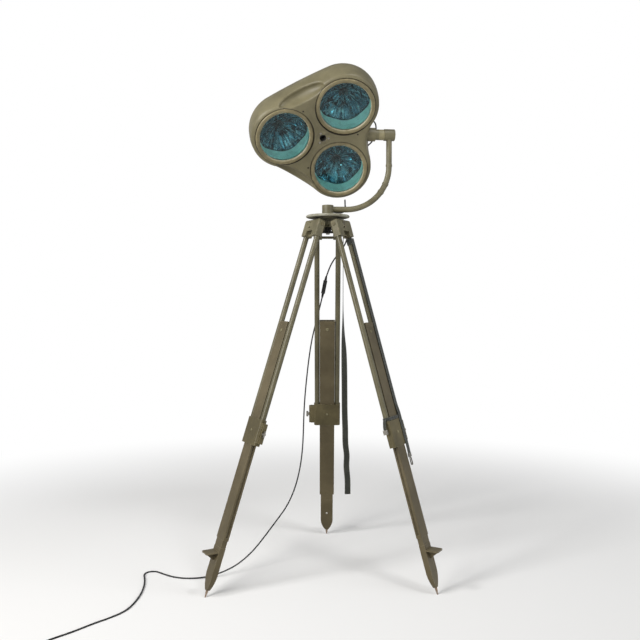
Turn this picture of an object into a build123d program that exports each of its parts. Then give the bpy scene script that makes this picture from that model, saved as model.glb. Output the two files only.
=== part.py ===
from build123d import *
import os
from math import atan2, cos, degrees, hypot, pi, radians, sin, sqrt, tan

# Surgical floor lamp: a three-lamp head on a one-armed yoke, on a tripod with sliding legs.
# Millimetres. The origin is on the floor under the swivel axis, +Z is up, +X is the side of the
# yoke's arm, and +Y runs towards the back leg.

# Tripod head
PLATE_RADIUS = 91.5
PLATE_THICKNESS = 11.0
PLATE_RIM = 9.0
PLATE_DISH = 2.0
PLATE_EDGE = 2.0
PLATE_BOSS_RADIUS = 32.0
PLATE_BOSS_SLOPE = 6.0
PLATE_TOP_Z = 1503.0
HINGE_RADIUS = 60.0
HINGE_Z = 1462.0
BOSS_RADIUS = 20.0
BOSS_BOTTOM_Z = 1455.5
ARM_WIDTH = 46.0
ARM_HALF_DEPTH = 14.0
ARM_STEP = 5.0
ARM_RIB_INSET = 8.0
ARM_RIB_SHORT = 2.0
FLANGE_RADIUS = 44.0
FLANGE_THICKNESS = 5.0
SPINDLE_RADIUS = 13.0
SPINDLE_TOP_Z = 1536.0
STEM_RADIUS = 8.0
STEM_BORE_RADIUS = 4.5
STEM_BOTTOM_Z = 1424.0
KNOB_RADIUS = 14.0
KNOB_HEIGHT = 26.0
KNOB_FLUTES = 18
KNOB_FLUTE_RADIUS = 1.6
KNOB_ROOM = 1.5
KNOB_BAND = 4.0
RUNNING_FIT = 0.05
SEAT_GAP = 0.3

# Legs: the azimuth and the foot's reach from the swivel axis
LEGS = {"left": (210.0, 551.0), "right": (330.0, 493.0), "back": (90.0, 522.0)}
RAIL_RADIUS = 11.25
RAIL_WALL = 1.6
RAIL_SPACING = 91.5
RAIL_START = 16.0
BRACKET_WIDTH = 120.0
BRACKET_TOP = 16.0
BRACKET_BOTTOM = 54.0
BRACKET_INNER = 14.0
BRACKET_OUTER = 19.0
BRACKET_WEB = 4.0
BRACKET_WEB_BOTTOM = 32.0
BRACKET_ROUND = 9.0
BRACKET_EDGE_ROUND = 5.0
WEB_HOLE = (-14.0, 4.0)
WEB_HOLE_RADIUS = 3.6
WEB_SLOT_ENDS = ((-14.0, -20.0), (-5.0, -16.0))
WEB_SLOT_RADIUS = 3.4
NOTCH_CLEARANCE = 1.0
HINGE_BOLT_RADIUS = 5.0
HINGE_HEAD_RADIUS = 8.5
HINGE_HEAD_THICKNESS = 3.2
TIE_ROD_RADIUS = 5.5
TIE_ROD_DROP = 47.0
COLLAR_TOP = 828.0
COLLAR_BOTTOM = 933.0
COLLAR_WIDTH = 120.0
COLLAR_THICKNESS = 29.0
COLLAR_ROUND = 10.0
COLLAR_FLOOR = 8.0
CLAMP_BLOCK_INSET = 8.0
BAR_WIDTH = 68.0
BAR_THICKNESS = 23.0
BAR_TOP = 440.0
BAR_WALL = 2.5
BAR_GROOVE_WIDTH = 9.0
BAR_GROOVE_DEPTH = 4.0
BAR_FIT = 0.3
BAR_ROUND = 2.0
BAR_GROOVE_STOP = 12.0
TENON_STEP = 1.0
TENON_WIDTH = 58.0
TENON_START = 228.0
SHOE_START = 198.0
SHOE_TAPER = 88.0
SHOE_END = 28.0
SHOE_TIP_HALF = 7.0
OGIVE_BULGE = 0.8
OGIVE_MIDDLE = 0.52
OGIVE_ROOM = 220.0
SPIKE_SOCKET = 14.0
SPIKE_RADIUS = 6.0
SPIKE_POINT_RADIUS = 1.6
SPIKE_OVERRUN = 6.0
TREAD_Z = 172.0
TREAD_WIDTH = 54.0
TREAD_REACH = 50.0
TREAD_THICKNESS = 5.0
TREAD_INSET = 6.0
TREAD_ROUND = 5.0
GUSSET_DEPTH = 44.0
GUSSET_THICKNESS = 5.0
GUSSET_SHORT = 6.0
GUSSET_NOSE = 8.0
GUSSET_FOOT = 4.0
GUSSET_INSET = 3.0
GUIDE_WIDTH = 68.2
GUIDE_THICKNESS = 27.0
GUIDE_HEIGHT = 16.0
GUIDE_ROUND = 4.0
CLAMP_BLOCK_REACH = 76.0
CLAMP_BLOCK_THICKNESS = 22.0
CLAMP_BLOCK_HEIGHT = 81.0
CLAMP_PLATE_REACH = 83.0
CLAMP_PLATE_WIDTH = 17.0
CLAMP_SCREW_RADIUS = 4.0
CLAMP_SCREW_END = 96.0
WING_INNER = 86.5
WING_HALF_LENGTH = 13.0
WING_THICKNESS = 5.0
WING_HUB_RADIUS = 6.5
WING_HUB_SHORT = 3.0
WING_ROUND = 3.0
CLAMP_SCREW_INSET = 2.0

# Yoke
YOKE_YAW = 8.0
YOKE_TUBE_RADIUS = 12.0
YOKE_TUBE_WALL = 2.5
YOKE_REACH = 261.0
YOKE_ARM_Z = 1529.0
YOKE_BEND_RADIUS = 185.0
TILT_Z = 1845.0
HUB_RADIUS = 24.0
HUB_TOP_Z = 1546.0
HUB_ROUND = 2.0
HUB_HEADROOM = 2.0
SLEEVE_RADIUS = 24.25
SLEEVE_LENGTH = 45.5
SLEEVE_CAP = 4.0
SLEEVE_ROUND = 1.5
SOCKET_DEPTH = 6.0
CLIP_WIDTH = 9.0
CLIP_WALL = 1.5
CLIP_Z = 1717.0
CLIP_ANGLES = (66.0, 54.0)

# Lamp head: u along the tilt axis, v upwards in the face, n forwards
HEAD_OFFSET = -26.0
HEAD_TILT = 36.5
STUB_RADIUS = 22.0
STUB_BORE_RADIUS = 8.0
JOURNAL_RADIUS = 16.0
FLANK_BOSS_RADIUS = 28.0
FLANK_BOSS_START = 176.0
FLANK_BOSS_END = 226.0
LAMP_CIRCLE = 158.5
LAMP_TILT = 7.0
LAMP_ANGLES = {"left": 180.0, "top": 60.0, "bottom": -60.0}
SEAT_HEIGHT = 50.0
BEZEL_RADIUS = 120.0
BEZEL_INNER_RADIUS = 103.0
BEZEL_HEIGHT = 8.0
BEZEL_ROUND = 3.0
BEZEL_CLEARANCE = 1.5
CUP_RADIUS = 125.0
CUP_DEPTH = 26.0
LENS_RADIUS = 105.5
LENS_EDGE = 4.0
LENS_CROWN = 7.0
LENS_DROP = 1.0
LENS_CLEARANCE = 0.5
LEDGE_RADIUS = 101.0
LEDGE_DROP = 10.0
REFLECTOR_MOUTH = 99.0
REFLECTOR_THROAT = 17.0
REFLECTOR_DEPTH = 120.0
REFLECTOR_WALL = 1.6
REFLECTOR_FLANGE = 2.0
BULB_RADIUS = 11.0
BULB_LENGTH = 46.0
BULB_COLLAR_RADIUS = 15.5
BULB_TIP_FLAT = 1.0
BEZEL_LIP = 5.0
BEZEL_LIP_EDGE = 2.5
BULB_COLLAR_HEIGHT = 8.0
BULB_SINK = 2.0
HOLDER_FLANGE_RADIUS = 24.0
HOLDER_FLANGE_THICKNESS = 3.0
HOLDER_RADIUS = 15.0
HOLDER_LENGTH = 14.0
HOUSING_WALL = 4.0
FACE_HEIGHT = 48.0
FACE_DISH = 3.0
FACE_ROUND = 14.0
COVER_ROUND = 38.0
SCOOP_REACH = 203.0
SCOOP_HEIGHT = 50.0
SCOOP_HALF_WIDTH = 26.0
SCOOP_HALF_LENGTH = 96.0
SCOOP_HALF_DEPTH = 42.0
SCOOP_ROUND = 7.0
SCOOP_AZIMUTHS = (120.0, -120.0)
RIM_LOW = 40.0
HEAD_LEAD_SEAT = 12.0
RIM_NEAR = 150.0
HEAD_ROOM = 400.0
CUP_RISE = 16.0
STUB_INSET = 3.0
SPLIT_HEIGHT = -30.0
COVER_END = -112.0
HANDLE_BORE_RADIUS = 14.0
HANDLE_SOCKET_RADIUS = 30.0
HANDLE_SOCKET_DEPTH = 36.0
HANDLE_SOCKET_WALL = 4.0
HANDLE_SOCKET_FLOOR = 4.0
HANDLE_SOCKET_SEAT = 3.0
HANDLE_SOCKET_PROUD = 1.0
SOCKET_SCREW_CIRCLE = 46.0
SOCKET_SCREW_RADIUS = 2.5
SOCKET_SCREW_HEAD = 4.2
SOCKET_SCREW_HEAD_HEIGHT = 2.2
SOCKET_SCREW_DEPTH = 4.0

# The head's outlines: the lobes' circle, their radius, the waist and the waist beside the stub
SPLIT_OUTLINE = (158.5, 143.0, 225.0, 205.0)
SHOULDER_OUTLINE = (158.5, 142.0, 219.0, 194.0)
SHOULDER_HEIGHT = 14.0
CROWN_OUTLINE = (158.5, 132.0, 186.0, 172.0)
CROWN_HEIGHT = 70.0
COVER_OUTLINE = (153.0, 137.0, 217.0, 198.0)
COVER_HEIGHT = -74.0
BACK_OUTLINE = (140.0, 124.0, 200.0, 184.0)

# Cord, switch and plug
CORD_RADIUS = 3.0
CORD_ARC_SHARE = 0.45
GLAND_AZIMUTH = 30.0
GLAND_REACH = 52.0
GLAND_FALL = 8.0
CORD_SEAT = 5.0
GLAND_RADIUS = 7.0
GLAND_TIP_RADIUS = 4.5
SWITCH_WIDTH = 17.0
SWITCH_DEPTH = 14.0
SWITCH_LENGTH = 58.0
RELIEF_LENGTH = 20.0
ROCKER_LENGTH = 16.0
ROCKER_WIDTH = 8.0
ROCKER_DEPTH = 5.0
ROCKER_GAP = 0.3
ROCKER_ROOM = 0.9
ROCKER_TILT = 6.0
ROCKER_SINK = 1.0
ROCKER_ROUND = 1.5
ROCKER_PIN_RADIUS = 1.0
ROCKER_PIN_HALF = 5.6
SWITCH_ROUND = 4.0
RELIEF_RADIUS = 6.0
RELIEF_TIP_RADIUS = 4.2
COIL_OUTER = 47.0
COIL_STEP = 3.8
COIL_HALF_TURNS = 7
COIL_LAYER = 7.3
COIL_GAP_POINTS = 900
TIE_ROOM = 1.5
TIE_HALF_WIDTH = 5.0
TIE_WALL = 0.7
TIE_TURN = 20.0
PLUG_LENGTH = 44.0
PLUG_WIDTH = 30.0
PLUG_ROUND = 6.0
PLUG_CHAMFER = 3.0
PLUG_PIN_LENGTH = 19.0
PLUG_PIN_RADIUS = 2.4
PLUG_PIN_SPACING = 19.0

# Webbing
STRAP_WIDTH = 25.0
STRAP_THICKNESS = 2.4
STRAP_CLEARANCE = 0.3
STRAP_HOOK_RADIUS = 2.0
STRAP_HOOK_Z = 1425.0
STRAP_HOOK_X = 66.0
STRAP_HOOK_Y = 61.3
STRAP_HOOK_SPARE = 5.0
STRAP_HOOK_BEND = 2.6
LEG_STRAP_TOP = 60.0
LEG_STRAP_END = 985.0
LEG_STRAP_SHIFT = 3.0
LEG_STRAP_LEAVE = 56.0
LEG_STRAP_MEET = 24.0
LEG_STRAP_CLEAR = 4.0
LEG_STRAP_DROOP = 1.5
COLLAR_STRAP_WIDTH = 13.0
COLLAR_STRAP_ROOM = 0.8
COLLAR_STRAP_LIFT = 2.0
CLASP_WALL = 0.6
CLASP_ABOVE = 12.0
CLASP_BELOW = 4.0
LINK_SPAN = 18.0
LINK_WIDTH = 17.0
LINK_WIRE = 3.5
LINK_THICKNESS = 3.2
BUCKLE_WIDTH = 18.0
BUCKLE_THICKNESS = 7.0
BUCKLE_ABOVE = 4.0
BUCKLE_BELOW = 14.0
BUCKLE_ROUND = 1.2

# The hanging strap's middle line and the azimuth of its width
STRAP_ROUTE = [
    (66.0, 46.0, 1418.0, 90.0),
    (66.0, 47.0, 1390.0, 90.0),
    (66.0, 52.0, 1330.0, 89.0),
    (66.0, 58.0, 1230.0, 88.0),
    (66.0, 60.0, 1090.0, 82.0),
    (67.0, 60.0, 1000.0, 58.0),
    (70.0, 60.0, 930.0, 28.0),
    (71.5, 60.0, 860.0, 8.0),
    (72.5, 60.0, 765.0, 2.0),
    (73.5, 60.0, 661.0, 0.0),
    (75.5, 60.0, 600.0, -3.0),
    (77.0, 60.0, 530.0, 0.0),
    (82.0, 60.0, 484.0, 6.0),
    (81.0, 61.0, 436.0, 3.0),
    (85.5, 60.0, 380.0, -4.0),
    (86.0, 60.0, 315.0, 3.0),
]

# The collar strap's tail in the leg's frame: across the leg and up it
COLLAR_TAIL = [(-58.9, -819.0), (-66.0, -822.0), (-73.0, -834.0), (-80.0, -848.0), (-82.0, -862.0)]

# Places of the cord's route on the tripod, chosen by hand
SWITCH_TOP = (-8.0, 160.0, 1238.0)
SWITCH_BOTTOM = (-20.0, 180.0, 1177.0)
UPPER_ROUTE = [
    (64.5, 37.0, 1448.0),
    (79.0, 60.0, 1441.0),
    (86.0, 90.0, 1421.0),
    (76.0, 116.0, 1390.0),
    (54.0, 130.0, 1359.0),
    (29.0, 134.0, 1328.0),
    (8.0, 143.0, 1291.0),
]
LOWER_ROUTE = [
    (-37.0, 199.0, 1103.0),
    (-52.0, 214.0, 1046.0),
    (-69.0, 219.0, 975.0),
    (-82.0, 216.0, 892.0),
    (-92.0, 212.0, 805.0),
    (-100.0, 209.0, 722.0),
    (-105.0, 207.0, 640.0),
    (-107.0, 203.0, 560.0),
    (-111.0, 196.0, 478.0),
    (-122.0, 184.0, 395.0),
    (-143.0, 166.0, 315.0),
    (-176.0, 142.0, 243.0),
    (-222.0, 112.0, 186.0),
    (-271.0, 80.0, 127.0),
    (-318.0, 40.0, 76.0),
    (-375.0, -14.0, 38.0),
    (-440.0, -58.0, 17.0),
    (-512.0, -82.0, 4.5),
    (-588.0, -88.0, 3.3),
    (-645.0, -68.0, 3.3),
    (-688.0, -36.0, 3.3),
    (-725.0, -4.0, 3.3),
    (-755.0, -9.0, 3.3),
    (-771.0, -36.0, 3.3),
    (-753.0, -93.0, 3.3),
    (-738.0, -168.0, 3.3),
    (-731.0, -252.0, 3.3),
    (-735.0, -334.0, 3.3),
    (-748.0, -408.0, 3.3),
    (-786.0, -466.0, 3.3),
    (-838.0, -520.0, 3.3),
    (-884.0, -582.0, 3.3),
    (-938.0, -636.0, 3.3),
    (-973.0, -680.0, 3.3),
    (-985.0, -715.0, 4.1),
]
COIL_START = (-985.0, -739.0, 4.1)

# The lead on the yoke, in the yoke's own plane: along the arm, behind it, and up
YOKE_CORD_TOP = [
    (261.0, 16.0, 1829.0),
    (261.0, 29.0, 1814.0),
    (261.0, 31.0, 1790.0),
    (261.0, 24.5, 1764.0),
    (261.0, 16.5, 1736.0),
]
YOKE_CORD_ANGLES = (84.0, 72.0, 60.0, 48.0, 36.0, 24.0)
YOKE_CORD_BIGHT = [
    (124.0, 17.0, 1533.0),
    (103.0, 27.0, 1529.0),
    (89.0, 47.0, 1533.0),
    (86.0, 70.0, 1551.0),
    (88.0, 88.0, 1571.0),
    (91.5, 108.0, 1584.0),
    (96.0, 132.0, 1585.0),
    (99.5, 149.0, 1567.0),
    (97.5, 145.0, 1544.0),
    (85.0, 124.0, 1530.0),
    (61.0, 93.0, 1526.0),
    (35.0, 62.0, 1524.0),
    (11.0, 20.0, 1524.0),
]

# The short lead round the back of the stub, in the head's frame: u, v, n
HEAD_LEAD_ROUTE = [
    (212.0, 38.0, -62.0),
    (231.0, 33.0, -60.0),
    (240.0, 13.0, -54.0),
    (240.0, -18.0, -50.0),
    (234.0, -54.0, -56.0),
    (216.0, -80.0, -64.0),
]

HEAD_GLAND_TOP = (190.0, 42.0, -62.0)
HEAD_GLAND_BOTTOM = (198.0, -98.0, -60.0)

NODES = {}


def keep(name, shape):
    NODES[name] = shape


def block(x0, x1, y0, y1, z0, z1):
    """A box from its six faces."""
    middle = Pos((x0 + x1) / 2, (y0 + y1) / 2, (z0 + z1) / 2)
    return middle * Box(abs(x1 - x0), abs(y1 - y0), abs(z1 - z0))


def disc(radius, z0, z1):
    """A round bar on the Z axis."""
    return Pos(0, 0, (z0 + z1) / 2) * Cylinder(radius, abs(z1 - z0))


def ring(outer, inner, z0, z1):
    """A tube on the Z axis."""
    return disc(outer, z0, z1) - disc(inner, z0, z1)


def along(start, end):
    """A frame at start with its Z axis towards end."""
    return Plane(origin=start, z_dir=Vector(*end) - Vector(*start))


def taper(r0, r1, z0, z1):
    """A round taper on the Z axis."""
    return Pos(0, 0, (z0 + z1) / 2) * Cone(r0, r1, abs(z1 - z0))


def spin(points):
    """A solid turned about the Z axis from a closed outline of (radius, height) points."""
    outline = make_face(Plane.XZ * Polyline(*points, close=True))
    return revolve(outline, Axis.Z)


def polar(azimuth, radius, z=0.0):
    return (radius * cos(radians(azimuth)), radius * sin(radians(azimuth)), z)


# Cords

def corner_radii(points):
    """One arc for each corner: a set share of its shorter run over the tangent of half the turn."""
    radii = []
    for a, b, c in zip(points, points[1:], points[2:]):
        before = Vector(*b) - Vector(*a)
        after = Vector(*c) - Vector(*b)
        half_turn = radians(before.get_angle(after)) / 2
        radii.append(CORD_ARC_SHARE * min(before.length, after.length) / tan(half_turn))
    return radii


def cord(name, points, radius=CORD_RADIUS):
    """A round cord on straight runs joined by arcs, with its length and bends printed."""
    radii = corner_radii(points)
    path = FilletPolyline(*points, radius=radii)
    section = Plane(origin=path @ 0, z_dir=path % 0) * Circle(radius)
    solid = sweep(section, path=path)
    expected = pi * radius ** 2 * path.length
    runs = [(Vector(*b) - Vector(*a)).length for a, b in zip(points, points[1:])]
    print(name, "length", round(path.length, 1), "volume ratio", round(solid.volume / expected, 4))
    print(name, "least radius", round(min(radii), 1), "radii", [round(r) for r in radii])
    print(name, "runs", [round(run) for run in runs])
    return solid


def coil_ends():
    """The coil's turning points: side, distance from its middle and height, one per half turn."""
    inward = [COIL_OUTER - COIL_STEP * k for k in range(COIL_HALF_TURNS + 1)]
    outward = inward[::-1][:-1]
    low, high = COIL_START[2], COIL_START[2] + COIL_LAYER
    reach = inward + outward
    heights = [low] * len(inward) + [high] * len(outward)
    sides = [-1 if k % 2 == 0 else 1 for k in range(len(reach))]
    return list(zip(sides, reach, heights))


def coil_middle():
    return (COIL_START[0] + COIL_OUTER, COIL_START[1] - 2 * CORD_RADIUS)


def coil():
    """A flat coil in two layers: half circles that step inwards, climb once and step out again."""
    cx, cy = coil_middle()
    ends = coil_ends()
    edges = [Line(COIL_START, (COIL_START[0], cy, COIL_START[2]))]
    for k, (a, b) in enumerate(zip(ends, ends[1:])):
        start = (cx + a[0] * a[1], cy, a[2])
        end = (cx + b[0] * b[1], cy, b[2])
        radius = (Vector(*end) - Vector(*start)).length / 2
        way = -1 if k % 2 == 0 else 1
        middle = ((start[0] + end[0]) / 2, cy + way * radius, (start[2] + end[2]) / 2)
        edges.append(ThreePointArc(start, middle, end))
    side, reach, high = ends[-1]
    last = COIL_OUTER
    x = cx + side * reach + last
    bottom = (x, cy - last, high)
    half = (x - last * cos(pi / 4), cy - last * sin(pi / 4), high)
    edges.append(ThreePointArc((cx + side * reach, cy, high), half, bottom))
    edges.append(Line(bottom, (x + last, cy - last, high)))
    path = Wire(edges)
    section = Plane(origin=COIL_START, z_dir=(0, -1, 0)) * Circle(CORD_RADIUS)
    solid = sweep(section, path=path)
    expected = pi * CORD_RADIUS ** 2 * path.length
    print("cord_coil length", round(path.length), "volume ratio", round(solid.volume / expected, 4))
    print("cord_coil least gap", round(coil_gap(path), 2))
    return solid, (x + last, cy - last, high)


def coil_gap(path):
    """The least gap between turns, on points along the coil more than a third of a turn apart."""
    count = COIL_GAP_POINTS
    step = path.length / count
    points = [path.position_at(k / count) for k in range(count + 1)]
    apart = int(COIL_OUTER / step) + 1
    least = min(
        (points[i] - points[j]).length
        for i in range(0, count + 1, 2)
        for j in range(i + apart, count + 1, 2)
    )
    return least - 2 * CORD_RADIUS


def switch_frame():
    """The switch's frame in the middle of the lead's gap, with its Z axis up the lead."""
    axis = Vector(*SWITCH_BOTTOM) - Vector(*SWITCH_TOP)
    middle = (Vector(*SWITCH_TOP) + Vector(*SWITCH_BOTTOM)) * 0.5
    return Plane(origin=middle, x_dir=(1, 0, axis.X / -axis.Z), z_dir=-axis)


def switch_shell():
    """The switch's body with its two reliefs, a pocket for the rocker and holes for its pin."""
    half = SWITCH_LENGTH / 2
    width = SWITCH_WIDTH / 2
    face = -SWITCH_DEPTH / 2
    shell = block(-width, width, face, -face, -half, half)
    shell = fillet(shell.edges().filter_by(Axis.Z), SWITCH_ROUND)
    shell += taper(RELIEF_TIP_RADIUS, RELIEF_RADIUS, -half - RELIEF_LENGTH, -half)
    shell += taper(RELIEF_RADIUS, RELIEF_TIP_RADIUS, half, half + RELIEF_LENGTH)
    pocket_x = ROCKER_WIDTH / 2 + ROCKER_GAP
    pocket_z = ROCKER_LENGTH / 2 + ROCKER_ROOM
    shell -= block(-pocket_x, pocket_x, face, face + ROCKER_DEPTH + ROCKER_ROOM, -pocket_z, pocket_z)
    pin_hole = disc(ROCKER_PIN_RADIUS + RUNNING_FIT, -ROCKER_PIN_HALF, ROCKER_PIN_HALF)
    return shell - rocker_line() * pin_hole


def rocker_line():
    """The rocker's axis in the switch's frame."""
    return Plane(origin=(0, (ROCKER_DEPTH - SWITCH_DEPTH) / 2 - ROCKER_SINK, 0), z_dir=(1, 0, 0))


def rocker():
    """The switch's rocker on its pin, tipped to one side."""
    width, depth, length = ROCKER_WIDTH / 2, ROCKER_DEPTH / 2, ROCKER_LENGTH / 2
    body = block(-width, width, -depth, depth, -length, length)
    body = fillet(body.edges().filter_by(Axis.X), ROCKER_ROUND)
    body = Pos(*rocker_line().origin) * Rot(ROCKER_TILT, 0, 0) * body
    reach = ROCKER_PIN_HALF - SEAT_GAP
    return body + rocker_line() * disc(ROCKER_PIN_RADIUS, -reach, reach)


def cord_and_fittings():
    """The supply lead from the tripod's head to its plug, with its switch and coil."""
    frame = switch_frame()
    switch = frame * switch_shell()
    keep("switch_body", switch)
    keep("switch_rocker", frame * rocker())
    print("rocker axis", tuple(frame.from_local_coords(rocker_line().origin)), tuple(frame.x_dir))
    seat = SWITCH_LENGTH / 2 + RELIEF_LENGTH - CORD_SEAT
    top, low = frame.from_local_coords((0, 0, seat)), frame.from_local_coords((0, 0, -seat))
    upper = [gland_point(GLAND_REACH - CORD_SEAT)] + UPPER_ROUTE + [tuple(top)]
    lower = [tuple(low)] + LOWER_ROUTE + [COIL_START]
    keep("supply_cord_upper", cord("supply_cord_upper", upper) - switch - cord_gland())
    keep("supply_cord_lower", cord("supply_cord_lower", lower) - switch)
    turns, plug_at = coil()
    keep("cord_coil", turns)
    keep("coil_tie", coil_tie())
    plug(plug_at)


def coil_tie():
    """A flat band round the turns on the coil's far side."""
    cx, cy = coil_middle()
    inner = COIL_OUTER - COIL_STEP * COIL_HALF_TURNS - CORD_RADIUS - TIE_ROOM
    outer = COIL_OUTER + CORD_RADIUS + TIE_ROOM
    low = SEAT_GAP / 2
    high = COIL_START[2] + COIL_LAYER + CORD_RADIUS + TIE_ROOM
    wide = TIE_HALF_WIDTH
    band = block(inner, outer, -wide, wide, low, high)
    roof, floor = high - TIE_WALL, low + TIE_WALL / 2
    band -= block(inner + TIE_WALL, outer - TIE_WALL, -wide - 1, wide + 1, floor, roof)
    return Pos(cx, cy, 0) * Rot(0, 0, TIE_TURN) * band


def plug(at):
    """A flat moulded plug with two round pins, lying on the floor beside the coil."""
    half_height = at[2] - SEAT_GAP / 2
    body = block(0, PLUG_LENGTH, -PLUG_WIDTH / 2, PLUG_WIDTH / 2, -half_height, half_height)
    body = fillet(body.edges().filter_by(Axis.X), PLUG_ROUND)
    body = chamfer(body.faces().sort_by(Axis.X)[0].edges(), PLUG_CHAMFER)
    keep("plug_body", Pos(*at) * body)
    pins = Part()
    for side in (-1, 1):
        pin = Plane.YZ * disc(PLUG_PIN_RADIUS, PLUG_LENGTH, PLUG_LENGTH + PLUG_PIN_LENGTH)
        pins += Pos(at[0], at[1] + side * PLUG_PIN_SPACING / 2, at[2]) * pin
    keep("plug_pins", pins)


# Tripod head

def tripod_head():
    bottom = PLATE_TOP_Z - PLATE_THICKNESS
    edge = PLATE_EDGE
    outline = [
        (SPINDLE_RADIUS, bottom),
        (PLATE_RADIUS - PLATE_RIM, bottom),
        (PLATE_RADIUS - edge, bottom + edge),
        (PLATE_RADIUS, bottom + PLATE_THICKNESS / 2),
        (PLATE_RADIUS - edge, PLATE_TOP_Z - edge),
        (PLATE_RADIUS - PLATE_RIM / 2, PLATE_TOP_Z),
        (PLATE_RADIUS - PLATE_RIM, PLATE_TOP_Z),
        (PLATE_RADIUS - 2 * PLATE_RIM, PLATE_TOP_Z - PLATE_DISH),
        (PLATE_BOSS_RADIUS + PLATE_BOSS_SLOPE, PLATE_TOP_Z - PLATE_DISH),
        (PLATE_BOSS_RADIUS, PLATE_TOP_Z),
        (SPINDLE_RADIUS, PLATE_TOP_Z),
    ]
    keep("top_plate", spin(outline) + strap_hook())
    casting = disc(BOSS_RADIUS, BOSS_BOTTOM_Z, bottom)
    casting += disc(FLANGE_RADIUS, bottom - FLANGE_THICKNESS, bottom)
    for azimuth, _ in LEGS.values():
        casting += Rot(0, 0, azimuth) * arm(bottom)
    casting += cord_gland()
    casting -= disc(STEM_RADIUS, BOSS_BOTTOM_Z - 1, bottom + 1)
    lead_hole = Plane(origin=(0, 0, HINGE_Z), z_dir=polar(GLAND_AZIMUTH, 1.0))
    casting -= lead_hole * disc(CORD_RADIUS, 0, BOSS_RADIUS)
    casting -= disc(KNOB_RADIUS + KNOB_ROOM, STEM_BOTTOM_Z, BOSS_BOTTOM_Z)
    keep("head_casting", casting)
    spindle = disc(SPINDLE_RADIUS, bottom, SPINDLE_TOP_Z)
    spindle += disc(STEM_RADIUS, STEM_BOTTOM_Z, bottom)
    spindle -= disc(STEM_BORE_RADIUS, STEM_BOTTOM_Z - 1, SPINDLE_TOP_Z + 1)
    keep("swivel_spindle", spindle)
    keep("clamp_knob", clamp_knob())
    bolts = Part()
    for azimuth, _ in LEGS.values():
        bolts += hinge_bolt(azimuth)
    keep("hinge_bolts", bolts)


def gland_point(reach):
    """A point on the line of the lead's bush, at a distance from the swivel axis."""
    start = BOSS_RADIUS - 2.0
    fall = GLAND_FALL * (reach - start) / (GLAND_REACH - start)
    return polar(GLAND_AZIMUTH, reach, HINGE_Z - fall)


def cord_gland():
    """The bush that lets the lead out of the boss between two arms."""
    root, tip = gland_point(BOSS_RADIUS - 2.0), gland_point(GLAND_REACH)
    length = (Vector(*tip) - Vector(*root)).length
    return along(root, tip) * taper(GLAND_RADIUS, GLAND_TIP_RADIUS, 0, length)


def arm(bottom):
    """One arm of the casting, along +X, ending in the eye that the leg turns on."""
    half = ARM_WIDTH / 2
    near = BOSS_RADIUS / 2
    low, high = HINGE_Z - ARM_HALF_DEPTH + ARM_STEP, HINGE_Z + ARM_HALF_DEPTH
    rib = half - ARM_RIB_INSET
    body = block(near, HINGE_RADIUS, -half, half, low, high)
    body += block(near, FLANGE_RADIUS - ARM_RIB_SHORT, -rib, rib, HINGE_Z, bottom)
    eye = Plane(origin=(HINGE_RADIUS, 0, HINGE_Z), z_dir=(0, 1, 0))
    body += eye * disc(ARM_HALF_DEPTH, -half, half)
    body -= eye * disc(HINGE_BOLT_RADIUS, -half - 1, half + 1)
    return body - disc(near, STEM_BOTTOM_Z, bottom)


def strap_hook():
    """A bent rod under the plate that carries the hanging strap below the lead."""
    top = (STRAP_HOOK_X, STRAP_HOOK_Y, PLATE_TOP_Z - PLATE_THICKNESS / 2)
    corner = (STRAP_HOOK_X, STRAP_HOOK_Y, STRAP_HOOK_Z)
    tip = (STRAP_HOOK_X, STRAP_HOOK_Y - STRAP_WIDTH - STRAP_HOOK_SPARE, STRAP_HOOK_Z)
    path = FilletPolyline(top, corner, tip, radius=STRAP_HOOK_BEND)
    section = Plane(origin=top, z_dir=(0, 0, -1)) * Circle(STRAP_HOOK_RADIUS)
    return sweep(section, path=path)


def clamp_knob():
    """A knurled ring nut on the spindle's stem, under the casting."""
    top = BOSS_BOTTOM_Z - SEAT_GAP
    knob = ring(KNOB_RADIUS, STEM_RADIUS + RUNNING_FIT, top - KNOB_HEIGHT, top)
    for k in range(KNOB_FLUTES):
        x, y, _ = polar(360 / KNOB_FLUTES * k, KNOB_RADIUS + KNOB_FLUTE_RADIUS / 2)
        knob -= Pos(x, y, 0) * disc(KNOB_FLUTE_RADIUS, top - KNOB_HEIGHT - 1, top - KNOB_BAND)
    return knob


def hinge_bolt(azimuth):
    """The bolt that a leg turns on, with its two heads outside the bracket's ears."""
    half = BRACKET_WIDTH / 2 + SEAT_GAP
    frame = Plane(origin=polar(azimuth, HINGE_RADIUS, HINGE_Z), z_dir=polar(azimuth + 90, 1.0))
    bolt = disc(HINGE_BOLT_RADIUS, -half, half)
    for side in (-1, 1):
        head = disc(HINGE_HEAD_RADIUS, side * half, side * (half + HINGE_HEAD_THICKNESS))
        bolt += head
    return frame * bolt


# Legs

def leg_frame(azimuth, reach):
    """A frame at the hinge: Z up the leg, X out of its outer face, Y across it."""
    lean = leg_lean(reach)
    outward = (cos(lean) * cos(radians(azimuth)), cos(lean) * sin(radians(azimuth)), sin(lean))
    up = (-sin(lean) * cos(radians(azimuth)), -sin(lean) * sin(radians(azimuth)), cos(lean))
    return Plane(origin=polar(azimuth, HINGE_RADIUS, HINGE_Z), x_dir=outward, z_dir=up)


def leg_lean(reach):
    return atan2(reach - HINGE_RADIUS, HINGE_Z)


def leg_length(reach):
    return hypot(reach - HINGE_RADIUS, HINGE_Z)


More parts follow.
